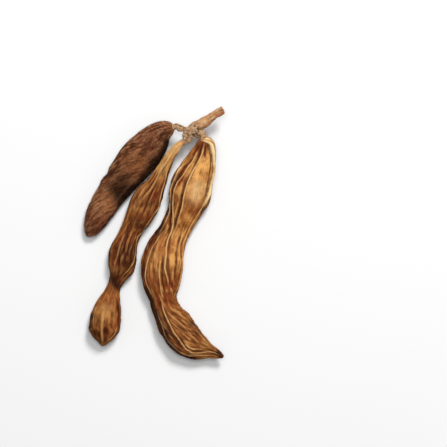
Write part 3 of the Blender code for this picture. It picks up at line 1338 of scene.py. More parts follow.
@dataclass(frozen=True)
class Knob:
    """A lump on the fork: an ellipsoid by its middle and its three half sizes, in mm.

    Its long axis is turned about Z from +X, by an angle in degrees.
    """

    x: float
    y: float
    z: float
    long: float
    wide: float
    tall: float
    turn: float

    def closed(self) -> tuple[Array, list[Array]]:
        """The ellipsoid's points and faces: rings of latitude between two poles."""
        latitude = np.linspace(-math.pi / 2, math.pi / 2, KNOB_RINGS + 2)[1:-1, None]
        longitude = np.linspace(0.0, TURN, KNOB_SIDES, endpoint=False)
        x = self.long * np.sin(latitude) * np.ones(KNOB_SIDES)
        y = self.wide * np.cos(latitude) * np.cos(longitude)
        z = self.tall * np.cos(latitude) * np.sin(longitude)
        poles = np.array(((-self.long, 0.0, 0.0), (self.long, 0.0, 0.0)))
        cosine, sine = math.cos(math.radians(self.turn)), math.sin(math.radians(self.turn))
        spin = np.array(((cosine, sine, 0.0), (-sine, cosine, 0.0), (0.0, 0.0, 1.0)))
        points = with_ends(np.stack((x, y, z), axis=2), poles) @ spin + np.array((self.x, self.y, self.z))
        return points, outward(points, tube_faces(KNOB_RINGS, KNOB_SIDES))


@dataclass
class Stalk:
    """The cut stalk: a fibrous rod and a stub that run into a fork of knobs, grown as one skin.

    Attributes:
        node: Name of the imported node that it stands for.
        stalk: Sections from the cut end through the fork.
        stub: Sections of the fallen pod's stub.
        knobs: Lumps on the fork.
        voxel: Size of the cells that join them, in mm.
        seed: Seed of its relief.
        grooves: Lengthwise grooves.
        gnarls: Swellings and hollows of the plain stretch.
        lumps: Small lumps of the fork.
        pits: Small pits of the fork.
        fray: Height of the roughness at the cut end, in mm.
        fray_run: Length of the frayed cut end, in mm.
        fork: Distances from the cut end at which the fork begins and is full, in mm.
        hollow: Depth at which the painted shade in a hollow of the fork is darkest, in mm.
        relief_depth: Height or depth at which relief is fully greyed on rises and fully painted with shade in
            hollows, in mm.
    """

    node: str
    stalk: tuple[Section, ...]
    stub: tuple[Section, ...]
    knobs: tuple[Knob, ...]
    voxel: float
    seed: int
    grooves: Grain = Grain(0.13, 2.6, 18, 0)
    gnarls: Grain = Grain(0.2, 1.7, 5, 27)
    lumps: Grain = Grain(0.34, 1.3, 128, 7)
    pits: Grain = Grain(0.25, 0.45, 128, 17)
    fray: float = 0.12
    fray_run: float = 0.9
    fork: tuple[float, float] = (9.0, 13.0)
    hollow: float = 0.12
    relief_depth: float = 0.25

    def skin(self) -> bpy.types.Mesh:
        """Joins the rods and knobs in one closed skin by remeshing them together."""
        parts = [
            Rod(self.stalk, spacing=0.3, sides=40).closed(),
            Rod(self.stub, spacing=0.3, sides=32).closed(),
        ]
        parts += [knob.closed() for knob in self.knobs]
        points, faces, start = [], [], 0
        for part_points, part_faces in parts:
            points.append(part_points)
            faces += [part + start for part in part_faces]
            start += len(part_points)
        raw = new_object("stalk_raw", np.concatenate(points), faces)
        remesh = raw.modifiers.new("grow_together", "REMESH")
        remesh.mode = "VOXEL"
        remesh.voxel_size = self.voxel * MM
        smooth = raw.modifiers.new("smooth", "SMOOTH")
        smooth.factor = 0.5
        smooth.iterations = 6
        graph = bpy.context.evaluated_depsgraph_get()
        mesh = bpy.data.meshes.new_from_object(raw.evaluated_get(graph))
        bpy.data.objects.remove(raw)
        return mesh

    def build(self, finish: bpy.types.Material) -> bpy.types.Object:
        """Roughens the joined skin with lengthwise grooves, gnarls, lumps and pits, and dresses it.

        Formula: each point moves along its normal by the sum of the reliefs' heights times their
        noises. The fork's lumps and pits are read on a plane that leans, at x + 0.6 z and y - 0.8 z.
        The plain stretch gets painted shade in a warm reddish colour on the side that faces the pods and
        where gnarls press it in, and the fork gets painted shade in its hollows.

        Args:
            finish: The wood's material.

        Returns:
            The stalk's object.
        """
        mesh = self.skin()
        flat = np.empty((2, len(mesh.vertices) * 3), np.float32)
        mesh.vertices.foreach_get("co", flat[0])
        mesh.vertex_normals.foreach_get("vector", flat[1])
        points, normals = flat.reshape(2, -1, 3).astype(float)
        points = points / MM
        rod = Rod(self.stalk, spacing=0.2, sides=8)
        near = np.argmin(np.linalg.norm(points[:, None, :] - rod.middle[None, :, :], axis=2), axis=1)
        offset = points - rod.middle[near]
        angle = np.arctan2(np.sum(offset * rod.up[near], axis=1), np.sum(offset * rod.across[near], axis=1))
        along = rod.where[near]
        grooves = self.grooves.noise(angle, along, self.seed)
        gnarls = self.gnarls.noise(angle, along, self.seed)
        slid_x, slid_y = points[:, 0] + 0.6 * points[:, 2], points[:, 1] - 0.8 * points[:, 2]
        lumps = self.lumps.spread(slid_x, slid_y, self.seed)
        pits = self.pits.spread(slid_x, slid_y, self.seed)
        knobby = smooth_step(*self.fork, along)
        frayed = 1.0 - smooth_step(0.0, self.fray_run, along)
        depth = hollows(mesh, points, normals, HOLLOW_PASSES)
        rough = self.lumps.height * lumps - self.pits.height * np.maximum(pits - 0.1, 0.0)
        height = self.grooves.height * grooves + knobby * rough + self.fray * frayed * pits
        swell = self.gnarls.height * (1.0 - knobby) * gnarls
        points = points + (height + swell)[:, None] * normals
        mesh.vertices.foreach_set("co", (points * MM).astype(np.float32).ravel())
        mesh.update()
        mesh.shade_smooth()
        result = bpy.data.objects.new("stalk_wood", mesh)
        bpy.context.scene.collection.objects.link(result)
        # Painted shade in a warm reddish colour: on the side that faces the pods and in the gnarls' dents.
        flank = 0.7 * smooth_step(0.1, 0.9, np.cos(angle)) + 0.45 * smooth_step(-0.2, -0.6, gnarls)
        store(result, "lay", lay_vectors(STALK_LAY, angle, along))
        # The fork's hollows lower its relief and raise its DARK tint: painted shade in those hollows.
        store(result, "relief", np.clip(height / self.relief_depth - knobby * depth / self.hollow, -1.0, 1.0))
        store(result, Tint.PALE.value, 0.8 * knobby)
        store(result, Tint.RED.value, (1.0 - knobby) * np.clip(flank, 0.0, 1.0))
        store(result, Tint.DARK.value, 1.1 * knobby * smooth_step(0.0, self.hollow, depth))
        result.data.materials.clear()
        result.data.materials.append(finish)
        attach(result, ROOT_BODY)
        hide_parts(self.node)
        return result


@dataclass
class PodStem:
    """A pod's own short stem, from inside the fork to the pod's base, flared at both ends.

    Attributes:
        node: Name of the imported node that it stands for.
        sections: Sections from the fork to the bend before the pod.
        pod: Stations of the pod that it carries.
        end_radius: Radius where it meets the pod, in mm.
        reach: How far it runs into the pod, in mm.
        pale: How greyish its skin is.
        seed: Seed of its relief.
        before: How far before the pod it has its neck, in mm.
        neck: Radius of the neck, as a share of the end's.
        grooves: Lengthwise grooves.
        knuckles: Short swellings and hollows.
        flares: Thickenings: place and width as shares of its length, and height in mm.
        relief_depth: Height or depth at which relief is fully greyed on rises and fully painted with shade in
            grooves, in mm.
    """

    node: str
    sections: tuple[Section, ...]
    pod: tuple[Station, ...]
    end_radius: float
    reach: float
    pale: float
    seed: int
    before: float = 1.2
    neck: float = 0.95
    grooves: Grain = Grain(0.14, 2.0, 12, 0)
    knuckles: Grain = Grain(0.14, 0.8, 5, 9)
    flares: tuple[Vector, ...] = ((0.75, 0.12, 0.12), (0.0, 0.2, 0.15))
    relief_depth: float = 0.22

    def build(self, finish: bpy.types.Material) -> bpy.types.Object:
        """Carries a grooved, knuckled ring along the stem and closes both ends.

        Args:
            finish: The wood's material.

        Returns:
            The stem's object.
        """
        along = Track(self.pod).along(np.zeros(1))[0]
        base = np.array(self.pod[0][:3], float)
        neck = Section(*(base - self.before * along), self.end_radius * self.neck)
        end = Section(*(base + self.reach * along), self.end_radius)
        rod = Rod((*self.sections, neck, end), spacing=0.07, sides=72)
        place = rod.where[:, None]
        relief = self.grooves.height * self.grooves.noise(rod.angle, place, self.seed)
        relief = relief + self.knuckles.height * self.knuckles.noise(rod.angle, place, self.seed)
        share = place / rod.track.length
        flare = sum(height * bell(share - middle, width) for middle, width, height in self.flares)
        points, faces = rod.closed(relief + flare)
        result = new_object(self.node + "_wood", points, faces)
        store(result, "lay", with_ends(lay_vectors(STEM_LAY, rod.angle, place)))
        store(result, "relief", with_ends(np.clip(relief / self.relief_depth, -1.0, 1.0)))
        for tint, value in ((Tint.PALE, self.pale), (Tint.RED, 0.0), (Tint.DARK, 0.0)):
            store(result, tint.value, np.full(len(points), value))
        result.data.materials.append(finish)
        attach(result, ROOT_BODY)
        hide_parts(self.node)
        return result


class Lamp(NamedTuple):
    """A square soft light: its name, place in mm, side in mm and power in watts."""

    name: str
    place: Vector
    side: float
    power: float


@dataclass(frozen=True)
class Studio:
    """A pale floor, soft lights overhead and a camera that looks straight down.

    Attributes:
        view_x: Plan place under the camera, in mm.
        view_y: Plan place under the camera, in mm.
        view_width: Width that the camera frames at the height of the pods, in mm.
        view_height: Height of that plane above the table, in mm.
        distance: Height of the camera above that plane, in mm.
        sensor: Width of the camera's sensor, in mm.
        lamps: The lights.
        ambient: Strength of the white world as a light.
        floor_half: Half the floor's side, in mm.
        floor_drop: How far the floor lies under the table plane, in mm.
        floor_seen: Grey of the floor to the camera, from 0 to 1.
        floor_lit: Grey of the floor as it throws light back, from 0 to 1.
        floor_glow: Distances at which the floor begins to glow white and does so fully, in metres.
    """

    view_x: float = 26.24
    view_y: float = 3.46
    view_width: float = 169.86
    view_height: float = 4.5
    distance: float = 1000.0
    sensor: float = 36.0
    lamps: tuple[Lamp, ...] = (
        Lamp("overhead_softbox", (0.0, 150.0, 1300.0), 600.0, 6.0),
        Lamp("key_softbox", (240.0, 560.0, 760.0), 260.0, 6.2),
    )
    ambient: float = 0.2
    floor_half: float = 3000.0
    floor_drop: float = 0.02
    floor_seen: float = 0.95
    floor_lit: float = 0.4
    floor_glow: tuple[float, float] = (0.1, 0.8)

    def floor(self) -> None:
        """A wide near-white plane just under the object, which runs out into the world's white."""
        half = self.floor_half
        corners = ((-half, -half), (half, -half), (half, half), (-half, half))
        points = np.array([(x, y, -self.floor_drop) for x, y in corners])
        plane = new_object("floor", points, [np.array(((0, 1, 2, 3),))])
        desk = Recipe("pale_floor")
        seen = desk.add("ShaderNodeLightPath", {}, "Is Camera Ray")
        tone = desk.mix(seen, (self.floor_lit,) * 3, (self.floor_seen,) * 3)
        away = desk.add("ShaderNodeVectorMath", {0: desk.object_place()}, "Value", operation="LENGTH")
        glow = desk.join(desk.span(away, *self.floor_glow), seen, "MULTIPLY")
        desk.feed(desk.shader, "Emission Color", (1.0, 1.0, 1.0))
        desk.feed(desk.shader, "Emission Strength", glow)
        plane.data.materials.append(desk.finish(tone, roughness=0.9, specular=0.05))

    def light(self, lamp: Lamp) -> None:
        """Hangs a lamp up, facing the middle of the bunch.

        Args:
            lamp: The lamp.
        """
        data = bpy.data.lights.new(lamp.name, "AREA")
        data.shape = "SQUARE"
        data.size = lamp.side * MM
        data.energy = lamp.power
        result = bpy.data.objects.new(lamp.name, data)
        bpy.context.scene.collection.objects.link(result)
        x, y, z = np.array(lamp.place) * MM - np.array((0.0, 0.0, self.view_height)) * MM
        result.location = np.array(lamp.place) * MM
        result.rotation_euler = (math.acos(z / math.hypot(x, y, z)), 0.0, math.atan2(y, x) + math.pi / 2)

    def world(self) -> None:
        """White where the camera sees it, and dimmer as a light."""
        world = bpy.data.worlds.new("studio")
        world.use_nodes = True
        tree = world.node_tree
        background = tree.nodes["Background"]
        background.inputs["Color"].default_value = (1.0, 1.0, 1.0, 1.0)
        path = tree.nodes.new("ShaderNodeLightPath")
        strength = tree.nodes.new("ShaderNodeMapRange")
        tree.links.new(path.outputs["Is Camera Ray"], strength.inputs["Value"])
        strength.inputs["To Min"].default_value = self.ambient
        strength.inputs["To Max"].default_value = 1.0
        tree.links.new(strength.outputs["Result"], background.inputs["Strength"])
        bpy.context.scene.world = world

    def camera(self) -> None:
        """Looks straight down, with the top of the picture towards +Y."""
        data = bpy.data.cameras.new("camera")
        data.sensor_width = self.sensor
        data.lens = self.sensor * self.distance / self.view_width
        data.clip_start = 0.01
        data.clip_end = 20.0
        camera = bpy.data.objects.new("camera", data)
        camera.location = np.array((self.view_x, self.view_y, self.view_height + self.distance)) * MM
        bpy.context.scene.collection.objects.link(camera)
        bpy.context.scene.camera = camera

    def build(self) -> None:
        """Sets up the floor, lights, world, camera and view."""
        self.floor()
        for lamp in self.lamps:
            self.light(lamp)
        self.world()
        self.camera()
        bpy.context.scene.view_settings.view_transform = "Standard"


def blotches(stains: dict[Tint, tuple[tuple[float, ...], ...]]) -> tuple[Blotch, ...]:
    """Blotches from rows by their tint: x, y, radius, strength and, where it is given, height."""
    return tuple(Blotch(tint, *row) for tint, rows in stains.items() for row in rows)


LEFT_STATIONS = tuple(Station(*row) for row in (
    (7.4, 39.9, 8.4, 1.4, 1.3, 0), (3.6, 38.6, 7.4, 4.2, 2.8, -6), (-1.3, 33.6, 5.8, 6.8, 4.0, -14),
    (-6.2, 28.2, 4.7, 7.7, 4.5, -17), (-10.7, 22.5, 4.3, 7.0, 4.4, -17),
    (-14.9, 16.8, 4.05, 6.2, 4.1, -14), (-18.9, 11.0, 3.7, 5.4, 3.8, -9), (-22.0, 5.5, 3.4, 4.6, 3.3, -4),
    (-23.8, 1.7, 3.0, 3.4, 2.6, 0), (-25.7, -1.0, 2.6, 0, 0, 0),
))

MIDDLE_STATIONS = tuple(Station(*row) for row in (
    (10.6, 34.2, 8.3, 1.2, 1.2, 0), (7.9, 31.6, 8.2, 1.5, 1.4, 0), (5.5, 27.8, 7.7, 1.9, 1.7, 0),
    (3.2, 23.6, 7.0, 2.6, 2.2, 4), (1.0, 18.8, 6.0, 3.6, 2.9, 6), (-2.1, 13.5, 4.7, 5.2, 3.9, 6),
    (-4.5, 8.7, 4.1, 5.5, 4.3, 4), (-8.2, 2.1, 3.5, 4.2, 3.5, 0), (-10.1, -1.9, 3.6, 4.2, 3.5, 0),
    (-12.1, -8.5, 4.1, 5.3, 4.4, 0), (-12.9, -13.5, 3.8, 4.8, 3.8, 0), (-14.2, -17.1, 3.1, 3.0, 2.6, 0),
    (-15.3, -19.9, 2.8, 2.4, 2.2, 0), (-16.4, -23.3, 3.1, 3.2, 2.8, 0), (-17.5, -27.9, 3.9, 4.9, 3.9, 0),
    (-18.6, -32.5, 4.3, 5.8, 4.6, 0), (-19.1, -36.6, 4.1, 5.8, 4.3, 0), (-19.4, -39.9, 3.6, 3.8, 3.0, 0),
    (-19.6, -41.7, 3.2, 2.0, 1.7, 0), (-19.8, -43.1, 3.0, 0, 0, 0),
))

RIGHT_STATIONS = tuple(Station(*row) for row in (
    (18.6, 36.0, 8.0, 1.9, 1.6, 0), (19.1, 34.1, 7.4, 3.4, 2.6, 4), (19.0, 31.0, 6.5, 4.6, 3.4, 8),
    (17.7, 27.4, 5.5, 5.8, 4.0, 10), (15.8, 23.0, 4.7, 7.0, 4.5, 10), (14.3, 18.1, 4.4, 7.9, 4.7, 9),
    (13.3, 13.8, 4.3, 7.9, 4.5, 8), (11.9, 9.7, 4.1, 6.8, 4.0, 6), (10.2, 6.0, 3.9, 6.0, 3.4, 4),
    (8.0, 1.5, 3.6, 5.7, 3.0, 0), (5.6, -3.0, 3.8, 6.4, 3.5, -3), (4.0, -7.4, 4.0, 7.4, 4.2, -5),
    (3.2, -11.9, 4.1, 8.0, 4.5, -6), (2.8, -16.5, 4.0, 7.6, 4.2, -7), (2.7, -21.1, 3.6, 6.6, 3.5, -8),
    (3.3, -25.6, 3.1, 5.2, 2.7, -10), (4.9, -30.1, 3.0, 5.4, 2.6, -14), (7.8, -34.9, 3.1, 6.7, 2.9, -18),
    (11.5, -39.8, 3.1, 6.7, 3.0, -18), (16.7, -43.5, 3.3, 5.0, 2.6, -14), (21.9, -45.5, 4.0, 2.3, 1.5, -8),
    (26.2, -47.2, 5.0, 0.4, 0.4, 0),
))

STALK_SECTIONS = tuple(Section(*row) for row in (
    (26.0, 46.4, 9.6, 1.5), (23.5, 45.0, 9.4, 1.4), (20.7, 43.0, 9.2, 1.75), (18.1, 41.2, 9.1, 2.1),
    (15.6, 39.6, 9.1, 2.3), (13.9, 38.5, 9.1, 2.1), (12.6, 37.8, 9.1, 1.6), (12.0, 37.5, 9.1, 0.6),
))

STUB_SECTIONS = tuple(Section(*row) for row in (
    (14.2, 37.8, 9.2, 1.2), (13.6, 36.4, 9.0, 0.95), (13.2, 35.1, 8.6, 0.9), (12.9, 34.1, 8.2, 0.7),
))

FORK_KNOBS = tuple(Knob(*row) for row in (
    (11.7, 37.3, 9.5, 1.4, 1.0, 1.2, 70), (12.6, 39.1, 9.4, 1.3, 1.0, 1.2, 10),
    (14.6, 39.9, 9.7, 1.5, 1.1, 1.3, 40), (14.4, 38.0, 10.1, 1.2, 1.0, 1.1, -30),
    (16.6, 39.3, 9.8, 1.4, 1.1, 1.3, -20), (17.6, 42.0, 9.3, 1.1, 0.8, 1.2, 40),
    (16.9, 37.9, 9.3, 1.4, 1.0, 1.1, -45), (15.4, 37.2, 9.0, 1.3, 0.8, 1.0, -20),
    (16.6, 36.7, 8.7, 1.1, 0.8, 0.9, -25), (21.4, 44.2, 9.3, 1.0, 0.5, 0.8, 35),
    (19.4, 41.2, 9.2, 1.2, 0.6, 0.9, 40),
))

RIGHT_SUTURE = (
    Rib((
        (16.8, 37.7), (19.4, 36.3), (21.4, 34.2), (22.5, 31.5), (22.9, 28.0), (22.7, 24.0), (22.2, 20.4),
        (21.6, 17.2), (20.9, 14.6), (19.9, 12.2), (18.6, 9.8),
    ), 0.6, 0.75, pale=1.3, stain=0.95, fade=1.6),
    Rib((
        (18.6, 38.0), (20.9, 36.8), (22.6, 34.4), (23.6, 31.0), (23.7, 27.0), (23.2, 22.5), (22.4, 17.5),
        (21.3, 13.6),
    ), 0.0, 1.0, pale=1.0, stain=1.0, shade=0.0, fade=0.6),
)

RIGHT_RIBS = (
    Rib((
        (20.0, 13.1), (18.3, 9.7), (15.8, 5.7), (13.4, 1.6), (11.6, -2.6), (10.9, -7.4), (10.5, -13.5),
        (9.5, -18.0), (8.3, -22.2),
    ), 0.3, 0.35, pale=0.5),
    Rib((
        (18.8, 34.6), (20.9, 32.2), (21.6, 28.4), (21.5, 24.2), (20.9, 20.4), (20.3, 17.4), (19.6, 14.6),
        (18.2, 11.8),
    ), -0.35, 0.4, dark=0.9),
    Rib((
        (18.6, 33.7), (17.8, 29.1), (16.1, 26.1), (14.1, 22.4), (12.4, 18.2), (11.3, 13.8), (10.5, 9.3),
        (9.1, 5.0),
    ), 0.4, 0.33, pale=0.7),
    Rib((
        (17.5, 32.5), (16.5, 28.0), (14.4, 23.3), (11.9, 19.1), (10.7, 14.9), (9.9, 10.7), (8.1, 3.8),
        (7.3, 0.2),
    ), -0.45, 0.6, dark=0.8),
    Rib((
        (16.7, 32.5), (15.5, 28.8), (13.2, 25.5), (11.3, 22.4), (8.8, 18.8), (7.5, 14.9), (7.1, 10.7),
        (7.3, 6.5), (7.1, 2.5), (6.2, -0.3), (5.2, -2.6), (4.7, -4.8), (4.4, -9.5), (4.0, -13.1),
        (4.5, -15.3), (5.3, -18.4), (5.7, -20.4),
    ), 0.4, 0.33, pale=0.6, fade=6.0),
    Rib((
        (13.5, 28.3), (10.6, 25.5), (8.0, 21.1), (6.3, 16.3), (5.8, 10.9), (5.5, 7.1), (3.5, 2.5),
        (0.8, -2.1),
    ), 0.35, 0.35, pale=0.5, shade=0.4),
    Rib((
        (12.0, 25.7), (9.2, 21.0), (7.0, 16.8), (6.0, 12.4), (6.1, 6.7), (5.3, 1.7),
    ), -0.35, 0.5, dark=0.6),
    Rib((
        (2.7, -9.7), (2.3, -11.2), (2.0, -13.1), (2.1, -16.4), (2.3, -19.7), (2.8, -22.8), (3.6, -25.1),
        (4.0, -26.4),
    ), 0.3, 0.28, pale=0.45),
    Rib((
        (3.2, 0.6), (1.1, -3.0), (-0.9, -6.1), (-1.9, -8.6), (-2.9, -13.1), (-3.3, -16.4), (-3.0, -18.6),
        (-1.8, -21.5), (-0.2, -24.5),
    ), 0.3, 0.28, pale=0.5),
    Rib(((11.4, 1.7), (10.2, -2.6), (9.5, -5.9), (9.4, -9.7), (8.8, -13.5)), 0.25, 0.4, pale=0.3),
    Rib((
        (2.7, -25.6), (3.3, -29.0), (4.0, -30.9), (5.1, -33.4), (6.3, -35.8), (7.8, -38.5), (9.3, -40.5),
        (10.8, -42.5), (12.3, -44.5), (14.6, -45.7), (17.2, -45.9), (20.0, -45.4), (21.4, -45.4),
        (23.5, -45.9), (25.3, -46.7),
    ), 0.4, 0.33, pale=0.45),
    Rib(((11.5, -42.2), (13.1, -43.5), (14.8, -44.3), (16.9, -44.1)), 0.35, 0.4, pale=0.6, fade=1.5),
    Rib((
        (9.7, -39.3), (11.2, -42.1), (12.7, -44.0), (14.6, -45.0), (17.3, -45.1), (19.6, -44.6),
    ), -0.35, 0.4, dark=0.8, fade=2.0),
    Rib((
        (0.8, -29.0), (2.1, -33.2), (3.1, -35.7), (4.5, -39.9), (6.4, -42.3), (9.1, -44.9), (11.7, -46.4),
        (15.3, -46.8), (21.0, -46.6),
    ), 0.25, 0.35, pale=0.3),
    Rib((
        (5.5, -27.7), (7.4, -29.6), (9.7, -31.3), (12.4, -33.2), (15.0, -35.9), (18.1, -39.7),
        (21.1, -43.1),
    ), 0.2, 0.6, pale=0.15),
    Rib((
        (5.1, -30.2), (7.0, -32.1), (9.7, -34.4), (12.4, -37.0), (15.4, -40.4), (18.4, -43.5),
    ), 0.2, 0.4, pale=0.1),
    Rib(((5.9, -33.2), (8.2, -35.5), (10.8, -37.8), (13.5, -40.8), (15.8, -43.1)), 0.2, 0.35, pale=0.1),
    Rib((
        (8.6, -27.5), (10.8, -29.4), (13.5, -31.9), (16.5, -35.9), (19.8, -39.9), (22.9, -43.9),
    ), 0.1, 0.4, pale=0.25),
)

# Furrows beside the ridges: their dark stain is painted shade, their red stain the husk's reddish colour.
RIGHT_FURROWS = (
    Rib((
        (16.0, 30.5), (13.8, 27.4), (11.0, 24.6), (8.4, 20.6), (6.7, 16.3), (6.2, 11.5), (6.3, 7.0),
        (5.9, 2.0), (4.6, -2.0),
    ), -0.3, 0.5, dark=0.75, red=0.5, stain=0.9),
    Rib((
        (6.2, 1.0), (5.8, -3.0), (5.4, -7.0), (5.2, -11.0), (5.6, -15.0), (6.6, -19.0), (7.4, -23.0),
    ), -0.3, 0.7, red=0.9, stain=1.0),
    Rib((
        (3.6, -8.0), (3.1, -12.0), (3.0, -16.0), (3.5, -20.0), (4.4, -24.5),
    ), -0.25, 0.4, dark=0.8, stain=0.7),
    Rib((
        (10.6, 1.0), (9.3, -3.0), (8.6, -7.0), (8.3, -11.0), (8.0, -15.0), (7.8, -19.0),
    ), -0.3, 0.5, red=0.8, stain=1.0),
    Rib(((5.9, -1.0), (4.2, -4.5), (2.8, -6.5)), -0.25, 0.5, red=0.8, stain=1.0, fade=2.0),
    Rib((
        (2.6, -29.0), (3.6, -32.4), (5.3, -36.2), (7.2, -39.6), (9.6, -42.6), (12.2, -45.4),
    ), -0.3, 0.7, dark=0.7, red=0.6, stain=1.0),
    Rib(((17.0, 34.5), (15.4, 30.6), (12.9, 27.2)), -0.2, 0.4, red=1.0, dark=0.5, stain=1.0, fade=1.5),
    Rib(((18.0, 34.6), (17.5, 31.6), (16.9, 29.2)), -0.2, 0.35, red=1.0, dark=0.5, stain=1.0, fade=1.5),
    Rib(((19.2, 34.6), (19.4, 31.8), (19.5, 29.0)), -0.2, 0.35, red=1.0, dark=0.4, stain=1.0, fade=1.5),
)

# Bands along the right pod's left flank, reddish colour with painted shade, and painted shade along the lower
# segment's left and lower edge.
RIGHT_RED_AND_SHADED_FLANKS = (
    Rib((
        (14.0, 28.0), (11.4, 24.6), (9.2, 20.4), (7.4, 16.0), (6.6, 11.0), (6.3, 6.0), (4.6, 1.5),
        (2.0, -3.0), (-0.6, -7.5),
    ), 0.0, 1.5, red=0.9, stain=1.0),
    Rib((
        (12.5, 24.5), (8.2, 20.5), (5.6, 16.0), (4.4, 11.0), (4.0, 7.0), (2.2, 2.4), (-0.5, -2.3),
        (-2.4, -6.0), (-4.0, -10.0), (-4.6, -15.0), (-4.2, -19.0), (-3.0, -23.0),
    ), 0.0, 2.0, dark=0.75, red=1.4, stain=1.0),
    Rib((
        (-4.6, -17.0), (-3.6, -21.5), (-1.8, -25.8), (0.2, -30.5), (2.0, -35.0), (4.4, -40.0),
        (7.2, -44.2), (10.4, -46.8), (14.4, -47.8), (18.6, -47.6),
    ), 0.0, 1.5, dark=1.6, stain=1.0),
)

RIGHT_STAINS = {
    Tint.PALE: (
        (16.4, 17.0, 3.0, 0.3), (15.4, 13.5, 2.4, 0.3),
    ),
    # Dark blotches: painted shade at the neck, along the left flank and over the lower segment and tip.
    Tint.DARK: (
        (18.2, 33.0, 2.0, 0.5), (11.5, -38.0, 7.0, 0.15), (20.0, -44.0, 4.0, 0.3), (14.3, -34.7, 1.4, 0.6),
        (16.2, -38.2, 1.4, 0.6), (3.2, -38.5, 2.6, 0.6), (25.4, -47.0, 1.8, 1.0), (24.2, -45.4, 1.0, 0.8),
        (-1.2, -25.4, 2.4, 0.6), (3.2, 8.5, 3.2, 1.0), (1.6, 2.0, 2.6, 0.8), (-3.4, -22.0, 2.4, 0.6),
        (0.6, -32.0, 2.6, 0.8),
    ),
    Tint.RED: (
        (17.8, 33.2, 2.8, 1.2), (16.4, 29.6, 2.4, 0.7), (19.6, 20.6, 1.6, 0.4), (16.2, 7.8, 2.5, 0.7),
        (12.0, 2.0, 1.6, 0.5), (5.6, -20.0, 3.5, 0.7), (2.0, -7.5, 2.5, 0.6), (3.5, -25.5, 2.5, 0.8),
        (1.2, -26.4, 2.6, 0.9), (10.6, 19.0, 2.4, 0.5), (9.0, 20.5, 2.6, 0.6), (-1.5, -18.0, 2.5, 0.6),
    ),
    Tint.GOLD: (
        (18.8, 28.3, 3.5, 0.8), (8.2, -1.3, 2.2, 0.8), (0.9, -8.5, 2.4, 0.8), (7.5, -20.0, 3.5, 0.8),
        (17.2, 24.0, 3.2, 0.6), (6.2, -10.5, 2.2, 0.9), (8.6, -30.8, 2.2, 0.9), (12.2, -34.4, 2.4, 0.8),
        (18.4, -41.8, 2.2, 0.7), (15.0, 20.0, 5.0, 0.5),
    ),
    Tint.BROWN: (
        (14.6, 8.6, 2.4, 0.7), (13.2, 11.2, 2.0, 0.9), (6.5, 1.5, 3.0, 0.5), (0.0, -18.5, 4.0, 0.9),
        (6.0, -30.0, 6.0, 1.0), (12.0, -39.0, 8.0, 1.7), (3.0, -18.5, 5.0, 1.1), (9.4, -17.5, 3.4, 0.9),
        (-1.2, -13.5, 3.6, 1.6), (21.5, -45.6, 3.0, 0.9), (0.2, -23.5, 3.2, 1.2), (9.4, 12.6, 2.4, 0.7),
        (14.4, -40.6, 2.6, 0.8), (5.4, -33.6, 2.4, 0.8), (6.0, -24.0, 3.5, 0.8), (6.5, 9.0, 3.0, 0.8),
    ),
}

MIDDLE_RIBS = (
    Rib((
        (10.5, 34.8), (8.2, 32.1), (5.9, 28.9), (3.8, 25.7), (2.1, 22.5), (0.4, 19.2), (-1.3, 16.4),
        (-3.2, 14.7), (-5.1, 12.6), (-6.7, 9.7),
    ), 0.3, 0.6, pale=0.2),
    Rib((
        (2.5, 20.7), (1.0, 17.7), (-0.2, 15.0), (-1.9, 12.2), (-3.6, 10.1), (-5.7, 7.6),
    ), 0.15, 0.4, pale=0.08),
    Rib((
        (6.4, 27.4), (3.9, 24.7), (1.8, 21.3), (0.2, 17.6), (-1.7, 13.6), (-3.0, 10.4), (-4.5, 6.6),
    ), -0.35, 0.4, dark=1.0),
    Rib((
        (5.2, 24.3), (4.2, 20.2), (3.2, 16.4), (2.2, 12.8), (1.5, 9.6), (-0.5, 6.5), (-2.9, 3.0),
        (-4.8, 0.2), (-6.4, -1.7), (-7.0, -4.7), (-7.3, -7.9), (-7.9, -10.4), (-9.3, -13.1),
        (-11.0, -15.3), (-13.0, -18.0),
    ), 0.35, 0.35, pale=0.8),
    Rib(((-1.7, 20.0), (-4.4, 15.7), (-7.0, 12.0), (-8.7, 7.8)), 0.25, 0.4, pale=0.2),
    Rib(((-8.2, 2.8), (-10.5, -2.3), (-11.5, -6.1), (-13.1, -9.9), (-14.1, -13.7)), -0.4, 0.5, dark=0.7),
    Rib(((-10.4, 0.6), (-12.6, -4.3), (-14.0, -8.9), (-15.4, -13.0)), 0.25, 0.4, pale=0.2),
    Rib(((-6.8, -0.2), (-7.3, -2.4), (-8.4, -5.1), (-9.4, -7.4)), 0.25, 0.35, pale=0.2, fade=2.0),
    Rib((
        (-19.1, -29.0), (-19.5, -33.0), (-19.7, -36.5), (-19.7, -40.0), (-19.6, -42.6),
    ), 0.35, 0.7, pale=0.3, shade=0.3, fade=4.0),
    Rib(((-19.7, -36.0), (-19.8, -39.0), (-19.6, -42.8)), 0.2, 0.38, pale=0.8, shade=0.3, fade=2.0),
    Rib((
        (-21.1, -27.4), (-22.6, -30.2), (-23.2, -33.2), (-23.1, -35.7),
    ), 0.2, 0.35, pale=0.85, shade=0.4, fade=2.0),
    Rib(((-17.2, -25.6), (-17.6, -30.2), (-18.2, -33.2), (-18.6, -35.3)), 0.15, 0.5, pale=0.06, fade=2.5),
    Rib(((-14.2, -35.5), (-14.9, -37.7), (-16.7, -39.9), (-18.4, -41.4)), 0.25, 0.4, pale=0.4, fade=1.5),
)

